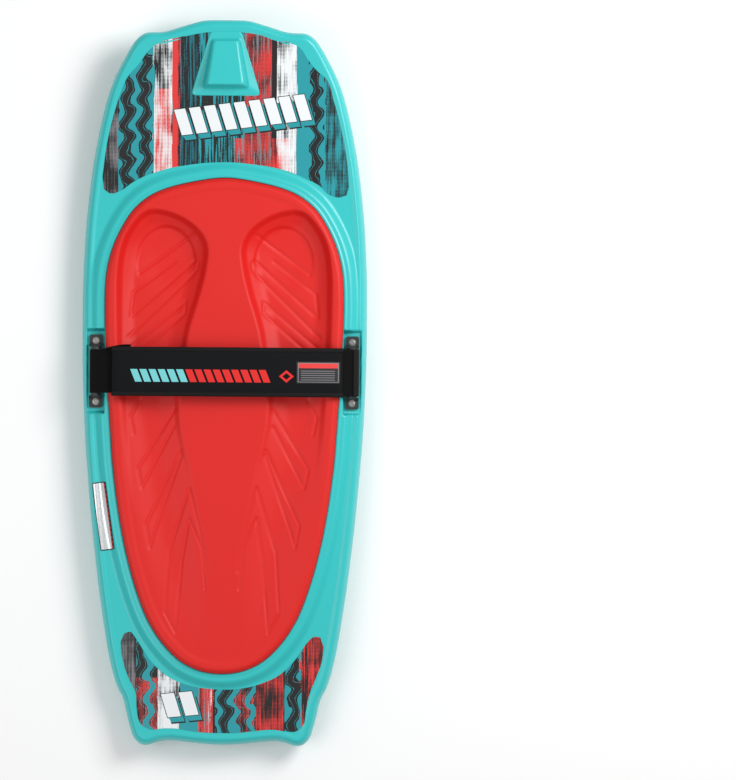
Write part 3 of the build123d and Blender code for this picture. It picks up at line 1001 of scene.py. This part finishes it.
class Pad:
    """The knee pad: a rounded rim, a cup and a long trough for each leg, and moulded grooves."""

    COUNT = 900  # points round each row
    GAP = 0.4  # from the pocket's wall
    # Distances of the rows by the edge from it, in metres
    EDGE_ROWS = (0, 0.0003, 0.0009, 0.0018, 0.003, 0.0046, 0.0065, 0.0088)
    MIDDLE = (-0.27, 0.36)  # Y of the two ends of the line that the rows meet in
    BASE = 0.0385  # height of its underside
    TOP = 75.0  # height of the rim, in millimetres, before the swell along it
    RIM_DROP = (9.2, 8.5)  # how far the rim's edge is rounded down, and how far in
    GROOVE_DEPTH = 2.0
    GROOVE_HALF = 2.2  # half width of a groove's bell
    # (behind the nose, half width) of each well's two sides, and its depth
    WELL_INNER = (
        (329, 120), (332, 101), (340, 79), (351, 60), (362, 47), (376, 36), (390, 30), (405, 28), (437, 32),
        (479, 42),
        (512, 52), (545, 61), (575, 66), (620, 73), (663, 77), (700, 75), (735, 69), (775, 58), (828, 46),
        (900, 34), (1000, 26), (1105, 24),
    )
    WELL_OUTER = (
        (329, 122), (332, 136), (340, 149), (351, 159), (362, 167), (376, 175), (395, 182), (420, 186.5),
        (460, 189),
        (545, 188), (600, 185), (663, 180), (733, 175), (800, 168), (838, 163), (890, 154), (943, 143),
        (1000, 127), (1040, 111), (1083, 86), (1105, 60),
    )
    WELL_DEPTH = (
        (329, 20), (400, 26), (450, 26), (520, 22), (580, 17.5), (660, 15), (780, 12.5), (900, 10.5), (1000, 7),
        (1070, 2.5), (1105, 0),
    )
    # (behind the nose, how far a well's wall slopes)
    WELL_SLOPE = ((330, 34), (480, 34), (640, 38), (800, 55), (1000, 60))
    # Corners of each moulded groove, as (half width, behind the nose)
    GROOVES = (
        ((56, 374), (150, 442)),
        ((47, 423), (49, 437), (168, 554)),
        ((52, 419), (164, 519), (160, 476), (86, 420)),
        ((68, 491), (69, 512), (140, 574)),
        ((68, 491), (167, 575)),
        ((147, 663), (163, 693), (157, 723)),
        ((85, 679), (149, 784), (142, 817), (87, 710)),
        ((74, 751), (134, 882), (127, 922)),
        ((73, 759), (118, 891), (127, 922)),
        ((59, 817), (93, 929), (100, 1035), (81, 1071)),
        ((59, 870), (71, 945), (77, 1026), (81, 1071)),
        ((59, 817), (40, 889), (30, 938), (27, 963)),
        ((59, 870), (36, 922), (29.7, 994)),
    )

    def __init__(self, form: BoardForm, finishes: Finishes) -> None:
        """Makes the pad.

        Args:
            form: the board's shape.
            finishes: the plain finishes.
        """
        self.form = form
        share = np.linspace(0, 1, self.COUNT, endpoint=False)
        loop = form.pad.at(share)
        middle = np.stack([0 * loop[:, 0], np.clip(loop[:, 1], *self.MIDDLE)], 1)
        span = np.linalg.norm(loop - middle, axis=1)
        edge = self.GAP * MM + np.array(self.EDGE_ROWS)
        inside = np.linspace(0.0, 1.0, 96)[None] * (span[:, None] - edge[-1] - 0.002)
        by_edge = np.broadcast_to(edge, (len(span), len(edge)))
        along = np.concatenate([by_edge, span[:, None] - inside[:, ::-1]], 1)
        plan = loop[:, None] + (middle - loop)[:, None] * (along / span[:, None])[..., None]
        height = self.height(plan[..., 0], plan[..., 1])
        top = np.concatenate([plan, height[..., None]], -1)
        wall = top[:, :1].copy()
        wall[..., 2] = self.BASE
        centre = np.concatenate([middle, np.full((len(middle), 1), self.BASE)], 1)[:, None]
        made = skin("knee_pad_moulding", np.concatenate([centre, wall, top], 1)[:, ::-1], wrap_u=True)
        dress(made, Paint("pad_foam", finishes.pad).grained().material, "pad_foam", "board", "knee_pad")

    def height(self, x: Grid, y: Grid) -> Grid:
        """Height of the pad's surface.

        Args:
            x: X of the positions.
            y: Y of the positions.

        Returns:
            The heights: a swollen rim, a well for each leg with a cup at its front, and the grooves.
        """
        across = np.abs(x) / MM
        s = (y - self.form.nose) / MM
        edge = np.maximum(self.form.pad.distance(x, y) / MM - self.GAP, 0)
        z = self.TOP + 1.6 * ease(edge, 2, 9) * ease(edge, 24, 14)
        inner, outer = through(s, self.WELL_INNER), through(s, self.WELL_OUTER)
        rows = np.linspace(self.WELL_INNER[0][0], self.WELL_INNER[-1][0], 400)
        ring = [np.stack([through(rows, side), rows], 1) for side in (self.WELL_INNER, self.WELL_OUTER)]
        away = distance_to(np.concatenate([ring[0], ring[1][::-1]]), across, s)
        inside = (across > inner) & (across < outer) & (s > rows[0]) & (s < rows[-1])
        away = np.where(inside, away, -away)
        wide = through(s, self.WELL_SLOPE)
        sharp = 0.42 * ease(s, 900.0, 640.0)
        wall = (1.0 - sharp) * ease(away, -3.0, wide) + sharp * ease(away, -1.5, 11.0)
        z = z - through(s, self.WELL_DEPTH) * wall
        cup = np.hypot((across - 103) / 52, (s - 425) / 66)
        z = z - 3.2 * ease(cup, 1.05, 0.93) * ease(s, 470.0, 400.0) - 3.0 * ease(cup, 1.0, 0.2)
        z = z - self.GROOVE_DEPTH * self.grooves(across, s)
        drop, reach = self.RIM_DROP
        return (z - drop * ellipse_drop(edge, reach)) * MM

    def grooves(self, across: Grid, s: Grid) -> Grid:
        """How deep in a moulded groove each position is.

        Args:
            across: distances from the middle of the board, in millimetres.
            s: distances behind the nose, in millimetres.

        Returns:
            0 to 1: a bell of the distance to the nearest groove's line.
        """
        best = np.full(across.shape, np.inf)
        for line in self.GROOVES:
            for a, b in zip(line[:-1], line[1:]):
                a, d = np.array(a, float), np.subtract(b, a).astype(float)
                t = np.clip(((across - a[0]) * d[0] + (s - a[1]) * d[1]) / (d @ d), 0, 1)
                best = np.minimum(best, np.hypot(across - a[0] - t * d[0], s - a[1] - t * d[1]))
        return np.exp(-((best / self.GROOVE_HALF) ** 2))


@dataclass(frozen=True)
class PrintPlan:
    """What is printed on a film, in millimetres across the board.

    Attributes:
        stops: (start, colour) of each upright band, from -X to +X.
        ribbons: (from, to) of the bands that teal ribbons wave over.
        bars: (from, to) of the bands with fine black bars.
        dots: (from, to, how full) of the bands with halftone dots.
        reds: (from, to, how far behind the nose they start) of the bands with red halftone.
        blocks: start, count, middle behind the nose, slope, height and pitch of the row of slanted blocks.
    """

    stops: tuple[tuple[float, Tone], ...]
    ribbons: tuple[tuple[float, float], ...]
    bars: tuple[tuple[float, float], ...]
    dots: tuple[tuple[float, float, float], ...]
    reds: tuple[tuple[float, float, float], ...]
    blocks: tuple[float, float, float, float, float, float]


class Prints:
    """The printed films on the deck and the foil label on the rail."""

    LIFT = 0.0005  # from the deck to a film's face
    # (across, behind the nose) along the two long sides of each film, in millimetres
    NOSE_OUTER = (
        (215, 273), (206, 209), (196, 167), (184, 129), (172, 101), (152, 78), (136, 56), (118, 41), (82, 31),
        (58, 25), (30, 21), (0, 20),
        (-30, 21), (-60, 25), (-85, 34), (-116, 40), (-131, 50), (-143, 68), (-159, 87), (-176, 102),
        (-189, 141), (-202, 188), (-212, 241), (-216, 288),
    )
    NOSE_INNER = (
        (212, 296), (201, 303), (183, 298), (163, 284), (138, 271), (115, 263), (93, 257), (70, 253),
        (45, 249.5), (20, 247.5), (0, 247),
        (-20, 247.5), (-45, 250), (-70, 253), (-93, 257.5), (-118, 265), (-142, 275), (-165, 287), (-182, 302),
        (-199, 307), (-212, 303),
    )
    TAIL_OUTER = (
        (177, 1087), (175, 1110), (163, 1150), (150, 1177), (148, 1206), (142, 1229), (126, 1240),
        (100, 1238.5), (76, 1239), (55, 1242.5), (28, 1245.5), (0, 1246),
        (-28, 1245.5), (-58, 1242), (-90, 1239.5), (-112, 1242), (-131, 1242), (-144, 1230), (-148, 1206),
        (-154, 1177), (-165, 1148), (-175, 1120), (-178, 1094),
    )
    TAIL_INNER = (
        (171, 1073), (161, 1070), (151, 1081), (140, 1098), (129, 1115), (115, 1131), (97, 1146), (76, 1157),
        (52, 1164.5), (26, 1168.5), (0, 1170),
        (-26, 1169), (-52, 1164.5), (-76, 1156.5), (-98, 1146), (-116, 1131), (-130, 1115), (-141, 1099),
        (-150, 1086), (-160, 1077), (-172, 1077),
    )
    NOSE_PLAN = PrintPlan(
        stops=(
            (-225, Tone.TEAL), (-173, Tone.BLACK), (-147, Tone.TEAL), (-124, Tone.WHITE), (-91, Tone.BLACK),
            (-82, Tone.GREY), (-34, Tone.TEAL),
            (46, Tone.DEEP_TEAL), (79, Tone.RED), (93, Tone.WHITE), (127, Tone.BLACK), (186, Tone.GREY),
        ),
        ribbons=((-175, -145), (125, 188)),
        bars=((-91, 84), (127, 150)),
        dots=((-225, -173, 0.5), (-124, -91, 0.35), (-82, -34, 0.6), (93, 127, 0.42), (186, 225, 0.6)),
        reds=((-113, -16, 205), (-80, -34, 0), (96, 124, 120)),
        blocks=(-147.0, 9, 168.0, 0.127, 46.0, 26.0),
    )
    TAIL_PLAN = PrintPlan(
        stops=(
            (-180, Tone.RED), (-138, Tone.BLACK), (-111, Tone.RED), (-24, Tone.BLACK), (11, Tone.WHITE),
            (20, Tone.TEAL), (30, Tone.RED),
            (38, Tone.TEAL), (73, Tone.WHITE), (111, Tone.BLACK), (150, Tone.GREY),
        ),
        ribbons=((-140, -111), (-60, 11), (111, 150)),
        bars=((11, 38), (-150, -108)),
        dots=((-180, -138, 0.6), (-111, -24, 0.62), (150, 180, 0.6), (73, 111, 0.3)),
        reds=((15, 34, 1000), (111, 150, 1150)),
        blocks=(42.0, 2, 1189.0, 0.1, 42.0, 31.0),
    )

    # A block's layers, from the back: shift across and towards the tail, how much it grows, and its colour
    LAYERS = (
        (-7.5, 11.0, 1.2, Tone.BLACK), (-6.5, 9.5, 0.0, Tone.TEAL), (-4.5, 6.5, 0.0, Tone.TEAL),
        (-2.5, 3.5, 0.0, Tone.TEAL), (0.0, 0.0, 1.3, Tone.BLACK), (0.0, 0.0, 0.0, Tone.WHITE),
    )
    LABEL_AT = (0.2095, 0.233)  # X and Y of the label's middle
    LABEL_HALF = (0.0125, 0.0600)
    LABEL_TURN = 8.0  # degrees

    def __init__(self, form: BoardForm) -> None:
        """Makes the two films and the label.

        Args:
            form: the board's shape.
        """
        self.form = form
        films = (
            ("nose_film", self.NOSE_OUTER, self.NOSE_INNER, "nose_decal", self.NOSE_PLAN),
            ("tail_film", self.TAIL_OUTER, self.TAIL_INNER, "tail_decal", self.TAIL_PLAN),
        )
        for name, outer, inner, node, plan in films:
            share = np.linspace(0, 1, 60)[None, :, None]
            a, b = self._path(outer, 300)[:, None], self._path(inner, 300)[:, None]
            flat = a + (b - a) * share
            made = skin(name, self._lay(flat[..., 0] * MM, flat[..., 1] * MM + form.nose))
            dress(made, self._art(name, plan), "deck_film", "board", node)
        self._label()

    def _lay(self, x: Grid, y: Grid) -> Grid:
        """Lays positions on the deck.

        Args:
            x: X of the positions.
            y: Y of the positions.

        Returns:
            The same positions just above the deck.
        """
        return np.stack([x, y, self.form.deck_height(x, y, recesses=False) + self.LIFT], -1)

    @staticmethod
    def _path(points: Pairs, count: int) -> Grid:
        """Draws a smooth path.

        Args:
            points: corners that it goes through.
            count: how many points it gets.

        Returns:
            (count, 2) evenly spaced points on cubics whose slopes follow the neighbouring corners.
        """
        p = np.array(points, float)
        length = np.concatenate([[0], np.cumsum(np.linalg.norm(np.diff(p, axis=0), axis=1))])
        slope = np.gradient(p, length, axis=0)
        want = np.linspace(0, length[-1], count)
        i = np.clip(np.searchsorted(length, want) - 1, 0, len(p) - 2)
        step = (length[i + 1] - length[i])[:, None]
        return cubic(p[i], p[i + 1], slope[i], slope[i + 1], step, (want - length[i])[:, None] / step)

    def _art(self, name: str, plan: PrintPlan) -> bpy.types.Material:
        """Prints a generic pattern of bands, ribbons, halftone dots and slanted blocks.

        Args:
            name: the material's name.
            plan: what goes where.

        Returns:
            The material.
        """
        paint = Paint(name, Finish(Tone.TEAL.value, 0.3, coat=0.4))
        x, y, _ = paint.place()
        s = y - self.form.nose / MM
        cloud = paint.noise(paint.vector(x * 0.03, s * 0.02, 4.0), 2.0)
        streak = paint.noise(paint.vector(x * 0.35, s * 0.012), 4.0)
        grit = paint.noise(paint.vector(x * 0.9, s * 0.5), 2.0)
        sway = x + (streak - 0.5) * 9.0
        colour = paint.bands(sway, -230.0, 230.0, [(start, tone.value) for start, tone in plan.stops])
        for low, high in plan.bars:
            ink = (streak + grit * 0.25).above(0.6) * sway.between(low, high)
            colour = paint.mix(ink, colour, Tone.BLACK.value)
        halftone = ((x + s) * 1.35).sine() * ((x - s) * 1.35).sine() * 0.5 + 0.5
        for low, high, full in plan.dots:
            ink = halftone.below((cloud + streak - 1.0) * 2.4 + full) * sway.between(low, high)
            colour = paint.mix(ink, colour, Tone.BLACK.value)
        for low, high, top in plan.reds:
            share = (cloud - 0.5) * 2.0 + (streak - 0.5) * 1.6 + 0.45
            ink = halftone.below(share) * x.between(low, high) * s.above(top)
            colour = paint.mix(ink, colour, Tone.RED.value)
        for low, high in plan.ribbons:
            bend = (s * 0.15 + cloud * 5.0).sine() * 1.1 + (cloud - 0.5) * 5.0
            wave = (x * 0.21 + bend).sine() + grit * 0.4 - 0.2
            for crest in (wave.above(0.42), wave.between(-0.42, -0.3)):
                colour = paint.mix(crest * sway.between(low, high), colour, Tone.TEAL.value)
        start, count, middle, slope, tall, pitch = plan.blocks
        for shift, drop, grow, tone in self.LAYERS:
            v = s - (x * slope + middle + drop)
            across = x - start - shift + v * 0.3
            cell = abs(across.wrap(pitch) - pitch / 2)
            block = cell.below(pitch * 0.37 + grow) * abs(v).below(tall / 2 + grow)
            colour = paint.mix(block * across.between(0.0, count * pitch), colour, tone.value)
        paint.colour(colour)
        return paint.material

    def _label(self) -> None:
        """Makes the foil label, a slightly turned strip with rounded corners."""
        u, v = np.meshgrid(np.linspace(-1, 1, 17), np.linspace(-1, 1, 41), indexing="ij")
        square = np.clip(np.abs(u) ** 8 + np.abs(v) ** 24, 1, None) ** -0.03
        turn = math.radians(self.LABEL_TURN)
        a, b = u * self.LABEL_HALF[0] * square, v * self.LABEL_HALF[1] * square
        x = self.LABEL_AT[0] + a * math.cos(turn) - b * math.sin(turn)
        y = self.LABEL_AT[1] + a * math.sin(turn) + b * math.cos(turn)
        made = skin("foil_label", self._lay(x, y))
        paint = Paint("foil_print", Finish((205, 206, 208), 0.28, metal=0.6, coat=0.3))
        pu, pv = paint.uv()
        frame_ink = abs(pu - 0.5).above(0.44).larger(abs(pv - 0.5).above(0.485))
        strip = pu.between(0.02, 0.16)
        colour = paint.mix(strip, paint.tone(Tone.WHITE), Tone.RED.value)
        marks = (pv * 90.0).sine().above(0.3) * pu.between(0.04, 0.13)
        x, y, _ = paint.place()
        # Grey patches at random over the silver: painted shade standing in for the darker reflections of
        # crinkled foil.
        crinkle_shade = paint.noise(paint.vector(x * 0.5, y * 0.5), 4.0).above(0.56)
        colour = paint.mix(marks, colour, Tone.BLACK.value)
        colour = paint.mix(crinkle_shade * 0.35, colour, Tone.GREY.value)
        colour = paint.mix(frame_ink, colour, Tone.BLACK.value)
        paint.colour(colour)
        dress(made, paint.material, "foil", "board", "rail_label")


# --------------------------------------------------------------------------- the strap


def ribbon(name: str, path: Grid, section: Grid, middle: Grid) -> bpy.types.Object:
    """Sweeps a closed section along a path in the XZ plane.

    Args:
        path: (n, 2) X and Z.
        section: (n or 1, m, 2) distances along Y and out along the path's left-hand normal.
        middle: (n,) Y of the path.

    Returns:
        A closed piece with welded ends.
    """
    tangent = np.gradient(path, axis=0)
    tangent /= np.linalg.norm(tangent, axis=1)[:, None]
    normal = np.stack([-tangent[:, 1], tangent[:, 0]], 1)
    section = np.broadcast_to(section, (len(path), *section.shape[1:]))
    x = path[:, None, 0] + normal[:, None, 0] * section[..., 1]
    z = path[:, None, 1] + normal[:, None, 1] * section[..., 1]
    points = np.stack([x, middle[:, None] + section[..., 0], z], -1)
    ends = [np.broadcast_to(points[k].mean(0), points[k].shape)[None] for k in (0, -1)]
    return skin(name, np.concatenate([ends[0], points, ends[1]]), wrap_v=True)


def rounded_bar(half_width: float, low: float, high: float, corner: float, crown: float, count: int) -> Grid:
    """A section: a rounded rectangle with a crowned top.

    Args:
        half_width: half its width.
        low: its underside.
        high: its top at the edges.
        corner: power of the rounding; larger is squarer.
        crown: how much higher the middle of the top is.
        count: points round it.

    Returns:
        (1, count, 2) distances across and up, round a squared ellipse whose upper half carries the crown.
    """
    a = np.linspace(0, 2 * math.pi, count, endpoint=False)
    wide = np.sign(np.cos(a)) * np.abs(np.cos(a)) ** (2 / corner) * half_width
    tall = np.sign(np.sin(a)) * np.abs(np.sin(a)) ** 0.5
    z = (low + high) / 2 + tall * (high - low) / 2
    z = z + crown * np.clip(tall, 0, 1) * np.cos(wide / half_width * math.pi / 2)
    return np.stack([wide, z], 1)[None]


@dataclass
class StrapLine:
    """The line that both straps follow over the pad.

    Attributes:
        middle: Y of the straps' middle.
        bar_x: X of the left bar.
        bar_z: height of the bars.
        loop: radius of the webbing's middle in a loop round a bar.
        drop: from the strap's underside to the tab's underside.
    """

    middle: float = -0.021
    bar_x: float = 0.2245
    bar_z: float = 0.0635
    loop: float = 0.00935
    drop: float = 0.0047

    # (X, height of the strap's underside) in millimetres
    ARCH = ((-224.5, 71.85), (-202, 81.2), (-101, 92.45), (0, 94.7), (101, 92.45), (202, 85.7), (224.5, 76.55))
    EDGE = (0.200, 0.201)  # X where the upper layer starts to dip, and where its next point is
    TURN = (84, -205)  # the angles that the webbing turns through round a bar, in degrees

    def under(self, x: Grid) -> Grid:
        """Height of the strap's underside.

        Args:
            x: X of the positions.

        Returns:
            The heights of an arch over the pad that dips to a bar at each end.
        """
        return through(np.asarray(x) / MM, self.ARCH) * MM

    def looped(self, side: int, tip: float, tail: float, drop: float) -> Grid:
        """The middle of a webbing from its tip, over to a bar, round it and back under itself.

        Args:
            side: 1 for the left bar, -1 for the right one.
            tip: X where the upper layer ends.
            tail: length of the lower layer.
            drop: how far the upper layer's underside is below the strap's.

        Returns:
            (n, 2) X and Z.
        """
        edge, past = self.EDGE
        x = np.concatenate([np.linspace(tip, side * edge, 90), side * np.linspace(past, self.bar_x, 18)])
        upper = np.stack([x, self.under(x) - drop + 0.001], 1)
        turn = np.radians(np.linspace(*self.TURN, 40))
        around = side * (self.bar_x + self.loop * np.cos(turn))
        ring = np.stack([around, self.bar_z + self.loop * np.sin(turn)], 1)
        back = side * np.linspace(past, self.bar_x - tail, 16)
        lower = np.stack([back, self.under(back) - drop - 0.0011], 1)
        bridge = ring[-1] + (lower[0] - ring[-1]) * np.linspace(0.12, 0.88, 7)[:, None]
        whole = np.concatenate([upper, ring, bridge, lower])
        for _ in range(2):
            whole[1:-1] = (whole[:-2] + 2 * whole[1:-1] + whole[2:]) / 4
        return whole


class Strap:
    """The padded leg strap and the anchor tab."""

    COVER = (0.1935, -0.2060)  # X of the two ends of the cover
    COVER_HALF = 0.0395
    # Above the strap's underside: the cover's own underside, its top at the edges, and the crown over that
    COVER_LOW, COVER_TOP, COVER_CROWN = 0.0018, 0.0088, 0.0022
    COVER_END = 0.012  # how far from an end it thins out
    TAPE = (0.1945, -0.2065)
    TAPE_AT = 0.0388  # from the strap's middle
    LABEL = (-0.2035, -0.1275)  # X of the two ends of the woven label
    LABEL_HALF = 0.019
    LABEL_LIFT = 0.0006
    WEB_HALF = 0.038
    WEB_TAIL = 0.062  # length of the layer that is turned back under

    def __init__(self, line: StrapLine, finishes: Finishes) -> None:
        """Makes the strap and the tab.

        Args:
            line: the line that they follow.
            finishes: the plain finishes.
        """
        self.line = line
        self.webbing_paint = Paint("webbing", finishes.webbing).woven(1.6, 0.00025).material
        self.tape_paint = Paint("binding_tape", finishes.tape).woven(1.0, 0.00015).material
        self._padding(finishes)
        self._webbings()

    def _along(self, ends: tuple[float, float]) -> Grid:
        """Follows the strap's underside.

        Args:
            ends: X of the two ends.

        Returns:
            (150, 2) X and Z.
        """
        x = np.linspace(*ends, 150)
        return np.stack([x, self.line.under(x)], 1)

    def _crown(self, across: Grid) -> Grid:
        """How much higher the cover's top is than at its edges.

        Args:
            across: distances from the strap's middle.

        Returns:
            The heights.
        """
        return self.COVER_CROWN * np.cos(across / self.COVER_HALF * math.pi / 2)

    def _padding(self, finishes: Finishes) -> None:
        """Makes the cover, crowned by the foam in it, a tape along each of its edges, and the woven label.

        Args:
            finishes: the plain finishes.
        """
        path = self._along(self.COVER)
        ends = np.abs(path[:, :1] - np.array(self.COVER)).min(1)
        fat = np.sqrt(np.clip(1 - np.clip(1 - ends / self.COVER_END, 0, 1) ** 2, 0.03, 1))[:, None]
        bar = rounded_bar(self.COVER_HALF, self.COVER_LOW, self.COVER_TOP, 5.0, self.COVER_CROWN, 96)
        section = np.repeat(bar, len(path), 0)
        # The path runs towards -X, so its normal points down and the section is turned over
        section[..., 1] = -(self.COVER_LOW + (section[..., 1] - self.COVER_LOW) * (0.45 + 0.55 * fat))
        middle = np.full(len(path), self.line.middle)
        cover = ribbon("strap_cover_cloth", path, section, middle)
        dress(cover, self._print(finishes), "cover_cloth", "strap", "strap_cover", "strap_foam")
        edge = rounded_bar(0.0042, -0.0095, -0.0002, 3.0, 0.0, 32)
        for name, side in (("front", -1), ("rear", 1)):
            tape = ribbon(f"{name}_tape", self._along(self.TAPE), edge, middle + side * self.TAPE_AT)
            dress(tape, self.tape_paint, "binding_tape", "strap", f"{name}_binding")
        half = self.LABEL_HALF
        x, dy = np.meshgrid(np.linspace(*self.LABEL, 60), np.linspace(-half, half, 24), indexing="ij")
        z = self.line.under(x) + self.COVER_TOP + self._crown(dy) + self.LABEL_LIFT
        label = skin("woven_label", np.stack([x, self.line.middle + dy, z], -1))
        paint = Paint("woven_print", Finish((40, 41, 43), 0.6))
        u, v = paint.uv()
        out_u, out_v = abs(u - 0.5), abs(v - 0.5)
        border = out_u.between(0.45, 0.47).larger(out_v.between(0.42, 0.45))
        border = border * out_u.below(0.47) * out_v.below(0.45)
        band = u.between(0.05, 0.95) * v.between(0.08, 0.3)
        lines = (v * 62.0).sine().above(0.3) * u.between(0.12, 0.9) * v.between(0.36, 0.86)
        colour = paint.mix(lines * 0.8, paint.tone(Tone.BLACK), Tone.GREY.value)
        colour = paint.mix(band, colour, Tone.RED.value)
        paint.colour(paint.mix(border, colour, Tone.GREY.value))
        dress(label, paint.material, "label_print", "strap", "strap_label")

    def _print(self, finishes: Finishes) -> bpy.types.Material:
        """Prints a row of slanted blocks, teal and then red, and a diamond on the cover's cloth.

        Args:
            finishes: the plain finishes.

        Returns:
            The material.
        """
        paint = Paint("cover_cloth", finishes.cover).woven(0.9, 0.0001)
        x, y, z = paint.place()
        v = y - self.line.middle / MM - 7.0
        slant = x + v * 0.4
        cell = abs(slant.wrap(16.0) - 8.0)
        block = cell.below(6.0) * abs(v).below(11.0) * slant.between(-80.0, 160.0)
        tone = paint.mix(slant.below(64.0), paint.tone(Tone.PALE_TEAL), Tone.RED.value)
        badge = (abs(x + 110.0) + abs(v) * 1.2).between(7.0, 13.0)
        colour = paint.mix(block.larger(badge), paint.tone(Tone.BLACK), tone)
        top = z.above(72.0)
        paint.colour(paint.mix(top, paint.tone(Tone.BLACK), colour))
        return paint.material

    def _webbings(self) -> None:
        """Makes the webbing under the padding and the anchor tab, each looped round its bar, and the sleeve."""
        flat = rounded_bar(self.WEB_HALF, -0.001, 0.001, 24.0, 0.0, 40)
        strap = self.line.looped(-1, 0.190, self.WEB_TAIL, 0.0)
        wider = 1.0 + 0.08 * ease(strap[:, 0], -0.185, -0.203)
        wide = flat * np.stack([wider, np.ones_like(wider)], 1)[:, None]
        made = ribbon("strap_web", strap, wide, np.full(len(strap), self.line.middle))
        dress(made, self.webbing_paint, "webbing", "strap", "strap_webbing")
        tab = self.line.looped(1, 0.0445, self.WEB_TAIL, self.line.drop)
        lower = ease(np.arange(len(tab)), len(tab) - 26, len(tab) - 4)
        middle = self.line.middle - 0.009 * lower
        made = ribbon("anchor_tab_web", tab, flat, middle)
        dress(made, self.webbing_paint, "webbing", "tab", "anchor_tab")
        turn = np.radians(np.linspace(100, 318, 48))
        radius = self.line.loop + 0.002
        x = -self.line.bar_x - radius * np.cos(math.pi - turn)
        path = np.stack([x, self.line.bar_z + radius * np.sin(turn)], 1)
        around = flat * np.array([1.085, 0.95])
        made = ribbon("bar_sleeve_tube", path, around, np.full(len(path), self.line.middle))
        dress(made, self.tape_paint, "webbing", "strap", "bar_sleeve")


# --------------------------------------------------------------------------- fittings and studio


def dress_fittings(finishes: Finishes) -> None:
    """Gives the CAD pieces that stay as they are their materials.

    Args:
        finishes: the plain finishes.
    """
    looks = {
        "nylon": Paint("bracket_nylon", finishes.nylon).grained().material,
        "steel": Paint("screw_steel", finishes.steel).material,
        "brass": Paint("insert_brass", finishes.brass).material,
        "foam": Paint("core_foam", finishes.foam).material,
        "loop": Paint("fastener_pile", finishes.cover).material,
    }
    corners = [f"{side}_{end}" for side in ("left", "right") for end in ("front", "rear")]
    nodes = dict.fromkeys(("left_bracket", "right_bracket"), "nylon")
    nodes.update(dict.fromkeys(("loop_fastener", "hook_fastener"), "loop"))
    nodes.update({f"{corner}_{part}": "steel" for corner in corners for part in ("washer", "screw")})
    nodes.update({f"{corner}_insert": "brass" for corner in corners})
    nodes.update({name: "foam" for name in ("pad_adhesive", "fill_plug", "vent_plug")})
    for name, look in nodes.items():
        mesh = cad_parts[name].data
        mesh.materials.clear()
        mesh.materials.append(looks[look])


@dataclass
class Studio:
    """A pale floor, soft lights and the camera.

    Attributes:
        lens: focal length in millimetres.
        tall: how much of the floor the picture shows from top to bottom.
        aim: the point that the camera looks straight down at.
        lean: how far the board leans to the right in the picture, in degrees.
        sensor: width and height of the camera's sensor, in millimetres.
        glow: strength of the light from all round.
    """

    lens: float = 250.0
    tall: float = 1.3663
    aim: tuple[float, float, float] = (-0.2523, 0.0085, 0.05)
    lean: float = 0.45
    sensor: float = 36.0
    glow: float = 0.42

    def build(self) -> None:
        """Makes everything around the board."""
        floor = skin("floor", np.array([[[-8.0, -8, 0], [-8, 8, 0]], [[8, -8, 0], [8, 8, 0]]]))
        floor.data.materials.append(Paint("floor_paper", Finish((250, 250, 250), 0.9, shine=0.1)).material)
        scene = bpy.context.scene
        scene.view_settings.view_transform = "Standard"
        world = bpy.data.worlds.new("studio")
        world.use_nodes = True
        background = world.node_tree.nodes["Background"].inputs
        background["Color"].default_value = (1, 1, 1, 1)
        background["Strength"].default_value = self.glow
        scene.world = world
        self._light("key", (-1.6, -1.0, 1.9), 1.2, 52.0)
        self._light("fill", (1.6, 0.8, 2.4), 2.0, 26.0)
        data = bpy.data.cameras.new("camera")
        data.lens = self.lens
        data.sensor_width = data.sensor_height = self.sensor
        data.clip_end = 60.0
        camera = bpy.data.objects.new("camera", data)
        scene.collection.objects.link(camera)
        lean = math.radians(self.lean)
        right = Vector((-math.cos(lean), -math.sin(lean), 0))
        up = Vector((math.sin(lean), -math.cos(lean), 0))
        out = right.cross(up)
        away = Matrix.Translation(Vector(self.aim) + out * self.tall * self.lens / self.sensor)
        camera.matrix_world = away @ Matrix((right, up, out)).transposed().to_4x4()
        scene.camera = camera

    @staticmethod
    def _light(name: str, place: tuple[float, float, float], size: float, power: float) -> None:
        """Adds a square soft light that faces the board.

        Args:
            name: its name.
            place: where it is.
            size: its side, in metres.
            power: its power, in watts.
        """
        data = bpy.data.lights.new(name, "AREA")
        data.size = size
        data.energy = power
        lamp = bpy.data.objects.new(name, data)
        lamp.location = place
        lamp.rotation_euler = (-Vector(place)).to_track_quat("-Z", "Y").to_euler()
        bpy.context.scene.collection.objects.link(lamp)


def main() -> None:
    """Builds the kneeboard and its studio."""
    logging.basicConfig(level=logging.INFO)
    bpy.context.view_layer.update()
    form = BoardForm()
    finishes = Finishes()
    log.info("board")
    Shell(form, finishes)
    log.info("pad")
    Pad(form, finishes)
    log.info("prints")
    Prints(form)
    log.info("strap")
    Strap(StrapLine(), finishes)
    dress_fittings(finishes)
    Studio().build()


if __name__ == "__main__":
    main()
